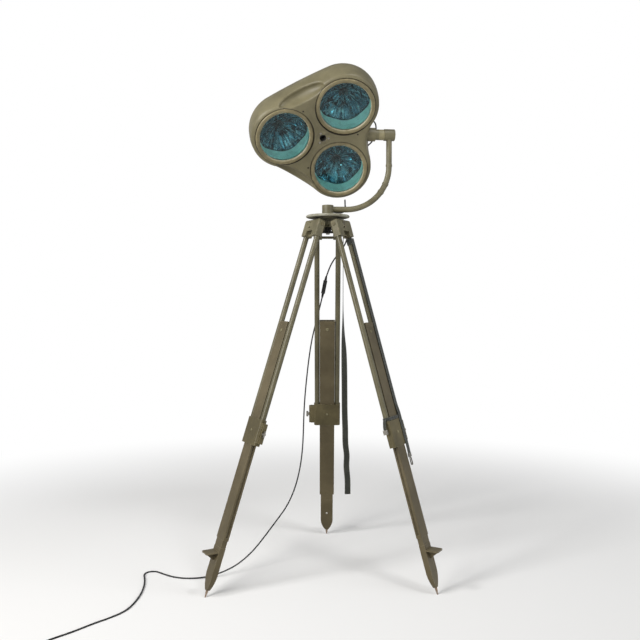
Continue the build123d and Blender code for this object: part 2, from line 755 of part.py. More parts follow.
def bracket():
    """The cap on the two rails: ears either side of the arm's eye and a thin outer web."""
    half = BRACKET_WIDTH / 2
    notch = ARM_WIDTH / 2 + NOTCH_CLEARANCE
    body = block(-BRACKET_INNER, BRACKET_OUTER, -half, half, -BRACKET_BOTTOM, BRACKET_TOP)
    body = fillet(body.edges().filter_by(Axis.X).sort_by(Axis.Z)[-2:], BRACKET_ROUND)
    body = fillet(body.edges().filter_by(Axis.Z), BRACKET_EDGE_ROUND)
    web = BRACKET_OUTER - BRACKET_WEB
    body -= block(-BRACKET_INNER - 1, web, -notch, notch, -BRACKET_BOTTOM - 1, BRACKET_TOP + 1)
    body -= block(web - 1, BRACKET_OUTER + 1, -notch, notch, -BRACKET_BOTTOM - 1, -BRACKET_WEB_BOTTOM)
    across = Plane(origin=(0, 0, 0), z_dir=(0, 1, 0))
    body -= across * disc(HINGE_BOLT_RADIUS + RUNNING_FIT, -half - 1, half + 1)
    for y in (-RAIL_SPACING / 2, RAIL_SPACING / 2):
        body -= Pos(0, y, 0) * disc(RAIL_RADIUS, -BRACKET_BOTTOM - 1, -RAIL_START)
    rod = Pos(0, 0, -TIE_ROD_DROP) * (across * disc(TIE_ROD_RADIUS, -notch, notch))
    return body - web_openings(web - 1) + rod


def web_openings(start):
    """The round hole and the slanted slot through a bracket's web."""
    outward = Plane(origin=(0, 0, 0), z_dir=(1, 0, 0))
    end = BRACKET_OUTER + 1
    cut = Pos(0, *WEB_HOLE) * (outward * disc(WEB_HOLE_RADIUS, start, end))
    (y0, z0), (y1, z1) = WEB_SLOT_ENDS
    for y, z in WEB_SLOT_ENDS:
        cut += Pos(0, y, z) * (outward * disc(WEB_SLOT_RADIUS, start, end))
    half = hypot(y1 - y0, z1 - z0) / 2
    turn = degrees(atan2(z1 - z0, y1 - y0))
    middle = Pos(0, (y0 + y1) / 2, (z0 + z1) / 2) * Rot(turn, 0, 0)
    return cut + middle * block(start, end, -half, half, -WEB_SLOT_RADIUS, WEB_SLOT_RADIUS)


def rails():
    """Two round tubes from the bracket's sockets to the collar's floor."""
    pair = Part()
    for y in (-RAIL_SPACING / 2, RAIL_SPACING / 2):
        tube = ring(RAIL_RADIUS, RAIL_RADIUS - RAIL_WALL, -COLLAR_BOTTOM + COLLAR_FLOOR, -RAIL_START)
        pair += Pos(0, y, 0) * tube
    return pair


def collar():
    """The block at the rails' lower end that the bar slides in, with its clamp block."""
    half = COLLAR_WIDTH / 2
    thick = COLLAR_THICKNESS / 2
    body = block(-thick, thick, -half, half, -COLLAR_BOTTOM, -COLLAR_TOP)
    body = fillet(body.edges().filter_by(Axis.Z), COLLAR_ROUND)
    middle = -(COLLAR_TOP + COLLAR_BOTTOM) / 2
    rise = CLAMP_BLOCK_HEIGHT / 2
    side = CLAMP_BLOCK_THICKNESS / 2
    ear = block(-side, side, half - CLAMP_BLOCK_INSET, CLAMP_BLOCK_REACH, middle - rise, middle + rise)
    plate = CLAMP_PLATE_WIDTH / 2
    ear += block(-plate, plate, CLAMP_BLOCK_REACH, CLAMP_PLATE_REACH, middle - rise, middle + rise)
    body += ear
    bar_half = BAR_WIDTH / 2 + BAR_FIT
    bar_thick = BAR_THICKNESS / 2 + BAR_FIT
    body -= block(-bar_thick, bar_thick, -bar_half, bar_half, -COLLAR_BOTTOM - 1, -COLLAR_TOP + 1)
    for y in (-RAIL_SPACING / 2, RAIL_SPACING / 2):
        body -= Pos(0, y, 0) * disc(RAIL_RADIUS, -COLLAR_BOTTOM + COLLAR_FLOOR, -COLLAR_TOP + 1)
    across = Plane(origin=(0, 0, middle), z_dir=(0, 1, 0))
    screw_hole = disc(CLAMP_SCREW_RADIUS + RUNNING_FIT, half + 1, CLAMP_PLATE_REACH + 1)
    return body - across * screw_hole


def clamp_screw():
    """The screw that locks the bar, with a wing to turn it by."""
    middle = -(COLLAR_TOP + COLLAR_BOTTOM) / 2
    across = Plane(origin=(0, 0, middle), x_dir=(1, 0, 0), z_dir=(0, 1, 0))
    screw = disc(CLAMP_SCREW_RADIUS, COLLAR_WIDTH / 2 + CLAMP_SCREW_INSET, CLAMP_SCREW_END)
    screw += disc(WING_HUB_RADIUS, CLAMP_PLATE_REACH + SEAT_GAP, CLAMP_SCREW_END - WING_HUB_SHORT)
    thick, long = WING_THICKNESS / 2, WING_HALF_LENGTH
    wing = block(-thick, thick, -long, long, WING_INNER, CLAMP_SCREW_END)
    return across * (screw + fillet(wing.edges().filter_by(Axis.X), WING_ROUND))


def bar(length):
    """The hollow lower bar, grooved along both narrow sides, with its narrower lower end."""
    half = BAR_WIDTH / 2
    thick = BAR_THICKNESS / 2
    end = -(length - TENON_START)
    tip = -(length - SHOE_START)
    body = block(-thick, thick, -half, half, end, -BAR_TOP)
    body = fillet(body.edges().filter_by(Axis.Z), BAR_ROUND)
    groove = BAR_GROOVE_WIDTH / 2
    for side in (-1, 1):
        deep, open_side = side * (half - BAR_GROOVE_DEPTH), side * (half + 1)
        body -= block(-groove, groove, deep, open_side, end + BAR_GROOVE_STOP, -BAR_TOP + 1)
    tenon, slim = TENON_WIDTH / 2, thick - TENON_STEP
    body += block(-slim, slim, -tenon, tenon, tip, end)
    body += guide_block()
    room = half - BAR_GROOVE_DEPTH - BAR_WALL
    flat = slim - BAR_WALL
    return body - block(-flat, flat, -room, room, tip - 1, -BAR_TOP + GUIDE_HEIGHT + 1)


def guide_block():
    """The block on the bar's top that keeps it between the rails."""
    half = GUIDE_WIDTH / 2
    thick = GUIDE_THICKNESS / 2
    body = block(-thick, thick, -half, half, -BAR_TOP, -BAR_TOP + GUIDE_HEIGHT)
    return fillet(body.edges().filter_by(Axis.Z), GUIDE_ROUND)


def ogive(half_width, z_wide, z_tip, tip_half, across):
    """A slab whose outline is straight, then draws in on two arcs to a blunt point."""
    bulge = half_width * OGIVE_BULGE
    middle = z_wide + (z_tip - z_wide) * OGIVE_MIDDLE
    top = z_wide + OGIVE_ROOM
    outline = Polyline((-half_width, z_wide), (-half_width, top), (half_width, top), (half_width, z_wide))
    outline += ThreePointArc((half_width, z_wide), (bulge, middle), (tip_half, z_tip))
    outline += Line((tip_half, z_tip), (-tip_half, z_tip))
    outline += ThreePointArc((-tip_half, z_tip), (-bulge, middle), (-half_width, z_wide))
    return extrude(across * make_face(outline), TENON_WIDTH, both=True)


def shoe(length, lean):
    """The cast shoe: a flat body drawn in to a point, with a tread plate on a gusset."""
    top = -(length - SHOE_START)
    wide_at, tip_at = -(length - SHOE_TAPER), -(length - SHOE_END)
    wide = ogive(TENON_WIDTH / 2, wide_at, tip_at, SHOE_TIP_HALF, Plane.YZ)
    deep = ogive(BAR_THICKNESS / 2, wide_at, tip_at, SHOE_TIP_HALF, Plane.XZ)
    reach = TENON_WIDTH
    body = wide & deep & block(-reach, reach, -reach, reach, -length, top)
    face = BAR_THICKNESS / 2
    inside = block(-reach, face - GUSSET_INSET / 2, -reach, reach, -length, top)
    body += tread(lean) - inside
    return body - disc(SPIKE_RADIUS, -length, tip_at + SPIKE_SOCKET)


def tread(lean):
    """The level plate that a boot presses on, with its gusset, on the leg's outer face."""
    turn = Pos(BAR_THICKNESS / 2, 0, -(HINGE_Z - TREAD_Z) / cos(lean)) * Rot(0, degrees(lean), 0)
    plate = block(-TREAD_INSET, TREAD_REACH, -TREAD_WIDTH / 2, TREAD_WIDTH / 2, -TREAD_THICKNESS, 0)
    plate = fillet(plate.edges().filter_by(Axis.Z), TREAD_ROUND)
    tip = TREAD_REACH - GUSSET_SHORT
    corners = [
        (-GUSSET_INSET, -1),
        (tip, -1),
        (tip, -GUSSET_NOSE),
        (GUSSET_FOOT, -GUSSET_DEPTH),
        (-GUSSET_INSET, -GUSSET_DEPTH),
    ]
    outline = make_face(Plane.XZ * Polyline(*corners, close=True))
    return turn * (plate + extrude(outline, GUSSET_THICKNESS / 2, both=True))


def spike(length):
    """The steel point, held in the shoe, before its tip is cut flat at the floor."""
    tip = disc(SPIKE_RADIUS, -(length - SHOE_END), -(length - SHOE_END) + SPIKE_SOCKET)
    cone = taper(SPIKE_POINT_RADIUS, SPIKE_RADIUS, -(length + SPIKE_OVERRUN), -(length - SHOE_END))
    return tip + cone


def legs():
    floor = block(-2000, 2000, -2000, 2000, -100, 0)
    for name, (azimuth, reach) in LEGS.items():
        frame = leg_frame(azimuth, reach)
        length = leg_length(reach)
        keep(name + "_leg_bracket", frame * bracket())
        keep(name + "_leg_rails", frame * rails())
        keep(name + "_leg_collar", frame * collar())
        keep(name + "_clamp_screw", frame * clamp_screw())
        keep(name + "_lower_bar", frame * bar(length))
        keep(name + "_foot_shoe", frame * shoe(length, leg_lean(reach)))
        keep(name + "_foot_spike", frame * spike(length) - floor)
        print(name, "leg length", round(length, 2), "lean", round(degrees(leg_lean(reach)), 3))


# Webbing

def flat_band(points, plane, width):
    """A band of even thickness along a bent line, as wide as width across the plane."""
    outline = trace(Polyline(*points), line_width=STRAP_THICKNESS)
    return extrude(plane * outline, width / 2, both=True)


def hanging_strap():
    """The strap that hangs from the casting's finger, turning from edge on to face on."""
    sections = []
    for x, y, z, angle in STRAP_ROUTE:
        frame = Plane(origin=(x, y, z), x_dir=polar(angle, 1.0), z_dir=(0, 0, -1))
        sections.append(frame * Rectangle(STRAP_WIDTH, STRAP_THICKNESS))
    band = loft(sections)
    expected = strap_length() * STRAP_WIDTH * STRAP_THICKNESS
    print("hanging_strap volume", round(band.volume), "of", round(expected))
    return band + strap_loop()


def strap_length():
    places = [Vector(x, y, z) for x, y, z, _ in STRAP_ROUTE]
    return sum((b - a).length for a, b in zip(places, places[1:]))


def strap_loop():
    """The strap's stitched loop round the hook."""
    x, y, z, _ = STRAP_ROUTE[0]
    inner = STRAP_HOOK_RADIUS + STRAP_CLEARANCE
    half = STRAP_WIDTH / 2
    line = Plane(origin=(x, y, STRAP_HOOK_Z), z_dir=(0, 1, 0))
    side = STRAP_THICKNESS / 2
    tab = block(x - side, x + side, y - half, y + half, z, STRAP_HOOK_Z - inner - side)
    return line * ring(inner + STRAP_THICKNESS, inner, -half, half) + tab


def leg_strap_line():
    """The middle line of the band down the right leg: out of the leg's face and up it."""
    side = STRAP_THICKNESS / 2 + STRAP_CLEARANCE
    over_rail = RAIL_RADIUS + side
    over_collar = COLLAR_THICKNESS / 2 + side
    return [
        (over_rail, -LEG_STRAP_TOP),
        (over_rail, -(COLLAR_TOP - LEG_STRAP_LEAVE)),
        (over_collar, -(COLLAR_TOP - LEG_STRAP_MEET)),
        (over_collar, -(COLLAR_BOTTOM + LEG_STRAP_CLEAR)),
        (over_collar - LEG_STRAP_DROOP, -LEG_STRAP_END),
    ]


def right_leg_strap():
    """The band looped on the outer rail and laid down the leg's face over its collar."""
    rail = RAIL_SPACING / 2
    band = Pos(0, rail + LEG_STRAP_SHIFT, 0) * flat_band(leg_strap_line(), Plane.XZ, STRAP_WIDTH)
    inner = RAIL_RADIUS + STRAP_CLEARANCE
    loop = ring(inner + STRAP_THICKNESS, inner, -LEG_STRAP_TOP - STRAP_WIDTH, -LEG_STRAP_TOP)
    return band + Pos(0, rail, 0) * loop


def collar_strap():
    """The narrow band round both rails above the collar, with its loose tail."""
    inner = 2 * (RAIL_RADIUS + COLLAR_STRAP_ROOM)
    outer = inner + 2 * STRAP_THICKNESS
    band = SlotCenterToCenter(RAIL_SPACING, outer) - SlotCenterToCenter(RAIL_SPACING, inner)
    low = -(COLLAR_TOP - COLLAR_STRAP_LIFT)
    body = Rot(0, 0, 90) * (Pos(0, 0, low) * extrude(band, COLLAR_STRAP_WIDTH))
    return body + flat_band(COLLAR_TAIL, Plane.YZ, COLLAR_STRAP_WIDTH)


def strap_hook_and_link():
    """The clasp sewn to the leg strap's end and the oblong link that hangs from it."""
    x, z = leg_strap_line()[-1]
    wide, thick = STRAP_WIDTH / 2, STRAP_THICKNESS / 2
    skin = thick + CLASP_WALL
    clasp = block(-skin, skin, -wide - 1, wide + 1, -CLASP_BELOW, CLASP_ABOVE)
    clasp -= block(-thick, thick, -wide, wide, 0, CLASP_ABOVE + 1)
    hole = LINK_WIDTH - 2 * LINK_WIRE
    link = SlotCenterToCenter(LINK_SPAN, LINK_WIDTH) - SlotCenterToCenter(LINK_SPAN, hole)
    link = Rot(0, 90, 0) * extrude(link, LINK_THICKNESS / 2, both=True)
    drop = (LINK_SPAN + LINK_WIDTH) / 2 + CLASP_BELOW - 1
    at = Pos(x, RAIL_SPACING / 2 + LEG_STRAP_SHIFT, z)
    return at * clasp + at * Pos(0, 0, -drop) * link


def tail_buckle():
    """The buckle on the end of the collar strap's tail."""
    y, z = COLLAR_TAIL[-1]
    wide, thick = BUCKLE_WIDTH / 2, BUCKLE_THICKNESS / 2
    body = block(-wide, wide, y - thick, y + thick, z - BUCKLE_BELOW, z + BUCKLE_ABOVE)
    body = fillet(body.edges().filter_by(Axis.X), BUCKLE_ROUND)
    band, skin = COLLAR_STRAP_WIDTH / 2, STRAP_THICKNESS / 2
    return body - block(-band, band, y - skin, y + skin, z, z + BUCKLE_ABOVE + 1)


def webbing():
    keep("hanging_strap", hanging_strap())
    azimuth, reach = LEGS["right"]
    frame = leg_frame(azimuth, reach)
    straps = right_leg_strap() + collar_strap()
    keep("right_leg_straps", frame * straps)
    keep("strap_hardware", frame * (strap_hook_and_link() + tail_buckle() - straps))


# Yoke

def yoke_frame():
    """The yoke's plane: X along its arm, Y behind it, Z up."""
    return Plane(origin=(0, 0, 0), x_dir=polar(YOKE_YAW, 1.0), z_dir=(0, 0, 1))


def sleeve_span():
    """The sleeve's two ends along the tilt axis, from the swivel axis."""
    return YOKE_REACH - SLEEVE_LENGTH / 2, YOKE_REACH + SLEEVE_LENGTH / 2


def yoke():
    frame = yoke_frame()
    path = FilletPolyline(
        (HUB_RADIUS - SOCKET_DEPTH, 0, YOKE_ARM_Z),
        (YOKE_REACH, 0, YOKE_ARM_Z),
        (YOKE_REACH, 0, TILT_Z - SLEEVE_RADIUS + SOCKET_DEPTH),
        radius=YOKE_BEND_RADIUS,
    )
    section = Plane(origin=path @ 0, z_dir=path % 0)
    bar = sweep(section * Circle(YOKE_TUBE_RADIUS), path=path)
    tube = bar - sweep(section * Circle(YOKE_TUBE_RADIUS - YOKE_TUBE_WALL), path=path)
    keep("yoke_tube", frame * tube)
    hub = disc(HUB_RADIUS, PLATE_TOP_Z + SEAT_GAP, HUB_TOP_Z)
    hub = fillet(hub.edges().group_by(Axis.Z)[-1], HUB_ROUND)
    hub -= disc(SPINDLE_RADIUS + RUNNING_FIT, PLATE_TOP_Z, SPINDLE_TOP_Z + HUB_HEADROOM)
    arm_hole = Plane(origin=(0, 0, YOKE_ARM_Z), z_dir=(1, 0, 0))
    hub -= arm_hole * disc(YOKE_TUBE_RADIUS, HUB_RADIUS - SOCKET_DEPTH, 2 * HUB_RADIUS)
    keep("lower_hub", frame * hub)
    keep("upper_sleeve", frame * sleeve())
    lead = yoke_cord()
    keep("yoke_cord", frame * lead)
    keep("yoke_cord_clips", frame * yoke_clips(bar, lead))


def sleeve():
    """The bearing for the lamp's stub, closed at its outer end, with a socket for the tube."""
    inner, outer = sleeve_span()
    line = Plane(origin=(0, 0, TILT_Z), z_dir=(1, 0, 0))
    body = disc(SLEEVE_RADIUS, inner + SEAT_GAP, outer)
    body = fillet(body.edges().filter_by(GeomType.CIRCLE), SLEEVE_ROUND)
    body -= disc(JOURNAL_RADIUS + RUNNING_FIT, inner - 1, outer - SLEEVE_CAP)
    socket = TILT_Z - SLEEVE_RADIUS + SOCKET_DEPTH
    return line * body - Pos(YOKE_REACH, 0, 0) * disc(YOKE_TUBE_RADIUS, socket - SLEEVE_RADIUS, socket)


def bend_point(angle, behind=0.0, out=0.0):
    """A point of the yoke's bend: angle 0 is its lower end, 90 its upper end."""
    middle_x = YOKE_REACH - YOKE_BEND_RADIUS
    middle_z = YOKE_ARM_Z + YOKE_BEND_RADIUS
    radius = YOKE_BEND_RADIUS + out
    return (
        middle_x + radius * sin(radians(angle)),
        behind,
        middle_z - radius * cos(radians(angle)),
    )


def clip_places():
    """Where the clips sit: a point on the tube's middle line and its direction there."""
    places = [((YOKE_REACH, 0, CLIP_Z), (0, 0, 1))]
    for angle in CLIP_ANGLES:
        direction = (cos(radians(angle)), 0, sin(radians(angle)))
        places.append((bend_point(angle), direction))
    return places


def yoke_clips(tube, lead):
    """Bands round the tube with an ear that holds the lead behind it."""
    clips = Part()
    back = YOKE_TUBE_RADIUS + CLIP_WALL + CORD_RADIUS
    for at, direction in clip_places():
        frame = Plane(origin=at, x_dir=(0, 1, 0), z_dir=direction)
        half = CLIP_WIDTH / 2
        band = disc(YOKE_TUBE_RADIUS + CLIP_WALL, -half, half)
        band += Pos(back, 0, 0) * disc(CORD_RADIUS + CLIP_WALL, -half, half)
        clips += frame * band
    return clips - tube - lead


def yoke_cord():
    """The lead from the sleeve's back, clipped behind the tube, to the back of the hub."""
    back = YOKE_TUBE_RADIUS + CLIP_WALL + CORD_RADIUS
    bend = [bend_point(angle, back, 1.0) for angle in YOKE_CORD_ANGLES]
    lead = cord("yoke_cord", YOKE_CORD_TOP + bend + YOKE_CORD_BIGHT)
    inner, outer = sleeve_span()
    lead -= Plane(origin=(0, 0, TILT_Z), z_dir=(1, 0, 0)) * disc(SLEEVE_RADIUS, inner, outer)
    return lead - disc(HUB_RADIUS, PLATE_TOP_Z, HUB_TOP_Z)


# Lamp head

def head_frame():
    """The head's frame: X along the tilt axis, Y up its face, Z forwards out of it."""
    yaw, tilt = radians(YOKE_YAW), radians(HEAD_TILT)
    x, y, _ = polar(YOKE_YAW, HEAD_OFFSET)
    forward = (sin(yaw) * cos(tilt), -cos(yaw) * cos(tilt), -sin(tilt))
    return Plane(origin=(x, y, TILT_Z), x_dir=(cos(yaw), sin(yaw), 0), z_dir=forward)


def trefoil(circle, lobe, waist, flank, height):
    """A three-lobed face: lobes of one radius joined by arcs, with a closer waist beside the stub."""
    waists = [waist, flank, waist]
    edges = []
    for k in range(3):
        lobe_angle = 180.0 - 120.0 * k
        waist_angle = lobe_angle - 60.0
        start = tangent_point(lobe_angle, lobe_angle + 60.0, circle, lobe, waists[k - 1])
        end = tangent_point(lobe_angle, waist_angle, circle, lobe, waists[k])
        far = tangent_point(lobe_angle - 120.0, waist_angle, circle, lobe, waists[k])
        edges.append(ThreePointArc(start, polar(lobe_angle, circle + lobe), end))
        edges.append(ThreePointArc(end, polar(waist_angle, waists[k]), far))
    return Pos(0, 0, height) * make_face(Wire(edges))


def tangent_point(lobe_angle, waist_angle, circle, lobe, waist):
    """Where a lobe's arc meets the arc that joins it to the next lobe."""
    away = waist - circle / 2
    across = circle * sin(radians(60))
    joint = (away ** 2 + across ** 2 - lobe ** 2) / (2 * (lobe - away))
    at = Vector(*polar(lobe_angle, circle))
    middle = Vector(*polar(waist_angle, waist + joint))
    towards = (middle - at).normalized() * (1 if joint > 0 else -1)
    return tuple(at + towards * lobe)


def lamp_frame(angle):
    """A lamp's own frame: its axis leans inwards, and Z is 0 on the bezel's seat."""
    lean = radians(LAMP_TILT)
    at = polar(angle, LAMP_CIRCLE, SEAT_HEIGHT)
    axis = polar(angle, -sin(lean), cos(lean))
    across = polar(angle, cos(lean), sin(lean))
    return Plane(origin=at, x_dir=across, z_dir=axis)


def outline(sizes, wall, height):
    """A named outline of the head, drawn in by the wall's thickness for the inside."""
    circle, lobe, waist, flank = sizes
    return trefoil(circle, lobe - wall, waist - wall, flank - wall, height)


def split_outline(wall, height):
    """The outline that the casting and the cover share where they meet."""
    return outline(SPLIT_OUTLINE, wall, height)


def dished(wall):
    """All that lies below the face: three planes that rise from its middle to the lobes."""
    below = Part()
    slope = radians(FACE_DISH)
    for angle in LAMP_ANGLES.values():
        face = Plane(
            origin=(0, 0, FACE_HEIGHT - wall),
            x_dir=polar(angle, cos(slope), sin(slope)),
            z_dir=polar(angle, -sin(slope), cos(slope)),
        )
        below += face * block(-HEAD_ROOM, HEAD_ROOM, -HEAD_ROOM, HEAD_ROOM, -HEAD_ROOM, 0)
    return below


def scoops(grown):
    """The hollows between the lobes: ellipsoids, grown by the wall's thickness for the inside."""
    half = (SCOOP_HALF_WIDTH + grown, SCOOP_HALF_LENGTH + grown, SCOOP_HALF_DEPTH + grown)
    ball = scale(Sphere(1), by=half)
    hollows = Part()
    for azimuth in SCOOP_AZIMUTHS:
        hollows += Rot(0, 0, azimuth) * Pos(SCOOP_REACH, 0, SCOOP_HEIGHT) * ball
    return hollows


def on_scoop(edge):
    """Whether an edge lies on a scoop's surface, tested with the ellipsoid's equation."""
    for azimuth in SCOOP_AZIMUTHS:
        misses = []
        for share in (0.2, 0.5, 0.8):
            at = (edge @ share).rotate(Axis.Z, -azimuth)
            x = (at.X - SCOOP_REACH) / SCOOP_HALF_WIDTH
            y = at.Y / SCOOP_HALF_LENGTH
            z = (at.Z - SCOOP_HEIGHT) / SCOOP_HALF_DEPTH
            misses.append(abs(x * x + y * y + z * z - 1))
        if max(misses) < 0.02:
            return True
    return False


def front_form(wall):
    """The casting's form before its scoops: a loft under the dished face, with its rim rounded."""
    overrun = 1.0 if wall else 0.0
    form = loft([
        split_outline(wall, SPLIT_HEIGHT - overrun),
        outline(SHOULDER_OUTLINE, wall, SHOULDER_HEIGHT),
        outline(CROWN_OUTLINE, wall, CROWN_HEIGHT),
    ])
    form = form & dished(wall)
    rim = [e for e in form.edges() if e.center().Z > RIM_LOW and hypot(e.center().X, e.center().Y) > RIM_NEAR]
    return fillet(rim, FACE_ROUND - wall)


def front_shell(wall):
    """The front casting's outer form, or its hollow when wall is the wall's thickness."""
    form = front_form(wall) - scoops(wall)
    if wall:
        return form
    return fillet([e for e in form.edges() if on_scoop(e)], SCOOP_ROUND)


def rear_shell(wall):
    """The rear cover's outer form, or its hollow when wall is the wall's thickness."""
    overrun = 1.0 if wall else 0.0
    form = loft([
        split_outline(wall, SPLIT_HEIGHT + overrun),
        outline(COVER_OUTLINE, wall, COVER_HEIGHT),
        outline(BACK_OUTLINE, wall, COVER_END + wall),
    ])
    return fillet(form.faces().sort_by(Axis.Z)[0].edges(), COVER_ROUND - wall)


def front_housing():
    """The front casting: a dished trefoil shell with a cup for each lamp and the stub's boss."""
    outer = front_shell(0.0)
    body = outer - front_shell(HOUSING_WALL)
    side = Plane(origin=(0, 0, 0), z_dir=(1, 0, 0))
    body += side * disc(FLANK_BOSS_RADIUS, FLANK_BOSS_START, FLANK_BOSS_END)
    socket_back = FACE_HEIGHT - HANDLE_SOCKET_DEPTH
    body += disc(HANDLE_SOCKET_RADIUS + HANDLE_SOCKET_WALL, socket_back, FACE_HEIGHT)
    for angle in LAMP_ANGLES.values():
        frame = lamp_frame(angle)
        body += (frame * disc(CUP_RADIUS, -CUP_DEPTH, CUP_RISE)) & outer
        body += frame * disc(CUP_RADIUS, -CUP_DEPTH, 0)
    for angle in LAMP_ANGLES.values():
        frame = lamp_frame(angle)
        body -= frame * disc(BEZEL_RADIUS + BEZEL_CLEARANCE, 0, CUP_RADIUS)
        body -= frame * disc(LENS_RADIUS + LENS_CLEARANCE, -LEDGE_DROP, 1)
        body -= frame * disc(LEDGE_RADIUS, -CUP_DEPTH - 1, 1)
    body -= disc(HANDLE_SOCKET_RADIUS, FACE_HEIGHT - HANDLE_SOCKET_SEAT, FACE_HEIGHT + CUP_RISE)
    body -= disc(HANDLE_BORE_RADIUS + HANDLE_SOCKET_WALL, socket_back - 1, FACE_HEIGHT)
    return body - side * disc(STUB_RADIUS, FLANK_BOSS_START - 1, FLANK_BOSS_END + 1)


def rear_housing():
    """The rear cover with the two glands of the short lead."""
    body = rear_shell(0.0) - rear_shell(HOUSING_WALL)
    for start, tip in head_gland_lines():
        length = (Vector(*tip) - Vector(*start)).length
        body += along(start, tip) * taper(GLAND_RADIUS, GLAND_TIP_RADIUS, 0, length)
    return body


def head_gland_lines():
    """Where each gland starts inside the cover and where its tip lets the lead go."""
    return [(HEAD_GLAND_TOP, HEAD_LEAD_ROUTE[0]), (HEAD_GLAND_BOTTOM, HEAD_LEAD_ROUTE[-1])]


def head_lead(cover):
    """The short lead from gland to gland behind the stub."""
    ends = []
    for start, tip in head_gland_lines():
        back = (Vector(*start) - Vector(*tip)).normalized() * HEAD_LEAD_SEAT
        ends.append(tuple(Vector(*tip) + back))
    lead = cord("stub_lead", [ends[0]] + HEAD_LEAD_ROUTE + [ends[1]]) - cover
    return lead.solids().sort_by(SortBy.VOLUME)[-1]


def head():
    frame = head_frame()
    keep("front_housing", frame * front_housing())
    cover = rear_housing()
    keep("rear_housing", frame * cover)
    keep("stub_lead", frame * head_lead(cover))
    inner, outer = sleeve_span()
    side = Plane(origin=(0, 0, 0), z_dir=(1, 0, 0))
    shoulder = inner - HEAD_OFFSET
    stub = disc(STUB_RADIUS, FLANK_BOSS_START - STUB_INSET, shoulder)
    stub += disc(JOURNAL_RADIUS, shoulder, outer - HEAD_OFFSET - SLEEVE_CAP - SEAT_GAP)
    stub -= disc(STUB_BORE_RADIUS, FLANK_BOSS_START - STUB_INSET - 1, outer - HEAD_OFFSET)
    keep("pivot_stub", frame * (side * stub))
    keep("handle_socket", frame * handle_socket())
    keep("handle_socket_screws", frame * socket_screws())
    bulbs = Part()
    holders = Part()
    for name, angle in LAMP_ANGLES.items():
        lamp = lamp_frame(angle)
        keep(name + "_bezel", frame * (lamp * bezel()))
        keep(name + "_lens", frame * (lamp * lens()))
        keep(name + "_reflector", frame * (lamp * reflector()))
        bulbs += frame * (lamp * bulb())
        holders += frame * (lamp * holder())
    keep("bulbs", bulbs)
    keep("bulb_holders", holders)


def bezel():
    """The ring that holds a lens down, rounded outside and bevelled inside."""
    outline = [
        (BEZEL_INNER_RADIUS, 0),
        (BEZEL_RADIUS, 0),
        (BEZEL_RADIUS, BEZEL_HEIGHT - BEZEL_ROUND),
        (BEZEL_RADIUS - BEZEL_ROUND, BEZEL_HEIGHT),
        (BEZEL_INNER_RADIUS + BEZEL_LIP, BEZEL_HEIGHT),
        (BEZEL_INNER_RADIUS, BEZEL_LIP_EDGE),
    ]
    return spin(outline)


def lens():
    """A crowned glass disc under the bezel's lip, between two spheres."""
    crown_radius = (LENS_RADIUS ** 2 + LENS_CROWN ** 2) / (2 * LENS_CROWN)
    middle = LENS_CROWN - LENS_DROP - crown_radius
    ball = Rot(90, 0, 0) * Sphere(crown_radius)
    blank = disc(LENS_RADIUS, -LENS_DROP - LENS_EDGE, LENS_CROWN)
    return (blank & (Pos(0, 0, middle) * ball)) - Pos(0, 0, middle - LENS_EDGE) * ball


def bowl_radius(depth):
    """The reflector's inner radius at a depth below its mouth: a parabola."""
    share = depth / REFLECTOR_DEPTH
    wide, narrow = REFLECTOR_MOUTH, REFLECTOR_THROAT
    return sqrt(wide ** 2 + (narrow ** 2 - wide ** 2) * share)


def reflector():
    """A thin parabolic bowl with a flange that lies on the cup's ledge."""
    mouth = -LEDGE_DROP + REFLECTOR_FLANGE
    steps = 8
    depths = [REFLECTOR_DEPTH * k / steps for k in range(steps + 1)]
    inner = [(bowl_radius(depth), mouth - depth) for depth in depths]
    wall = REFLECTOR_WALL
    outer = [(r + wall, z - wall / 2) for r, z in inner[1:]][::-1]
    flange = [
        (REFLECTOR_MOUTH + wall, -LEDGE_DROP),
        (LENS_RADIUS, -LEDGE_DROP),
        (LENS_RADIUS, mouth),
    ]
    return spin(inner + outer + flange)


def throat_height():
    return -LEDGE_DROP + REFLECTOR_FLANGE - REFLECTOR_DEPTH


def bulb():
    """A tubular bulb with a dark collar in the reflector's throat."""
    base = throat_height()
    envelope = disc(BULB_RADIUS, base - BULB_SINK, base + BULB_LENGTH)
    envelope = fillet(envelope.edges().sort_by(Axis.Z)[-1], BULB_RADIUS - BULB_TIP_FLAT)
    collar = disc(BULB_COLLAR_RADIUS, base - REFLECTOR_WALL / 2, base + BULB_COLLAR_HEIGHT)
    return envelope + collar


def holder():
    """The bulb's holder, flanged to the back of the reflector."""
    back = throat_height() - REFLECTOR_WALL / 2
    body = disc(HOLDER_FLANGE_RADIUS, back - HOLDER_FLANGE_THICKNESS, back)
    body += disc(HOLDER_RADIUS, back - HOLDER_LENGTH, back - HOLDER_FLANGE_THICKNESS)
    return body - disc(BULB_RADIUS, throat_height() - BULB_SINK, back + 1)


def handle_socket():
    """The flanged socket in the middle of the face, for a plug-in handle."""
    top = FACE_HEIGHT
    seat = top - HANDLE_SOCKET_SEAT
    floor = top - HANDLE_SOCKET_DEPTH
    body = disc(HANDLE_SOCKET_RADIUS - SEAT_GAP, seat, top + HANDLE_SOCKET_PROUD)
    body += disc(HANDLE_BORE_RADIUS + HANDLE_SOCKET_WALL, floor, seat)
    body -= disc(HANDLE_BORE_RADIUS, floor + HANDLE_SOCKET_FLOOR, top + HANDLE_SOCKET_PROUD + 1)
    for x, y in screw_places():
        body -= Pos(x, y, 0) * disc(SOCKET_SCREW_RADIUS, seat, top + HANDLE_SOCKET_PROUD + 1)
    return body


def screw_places():
    places = []
    for k in range(3):
        x, y, _ = polar(120.0 * k, SOCKET_SCREW_CIRCLE / 2)
        places.append((x, y))
    return places


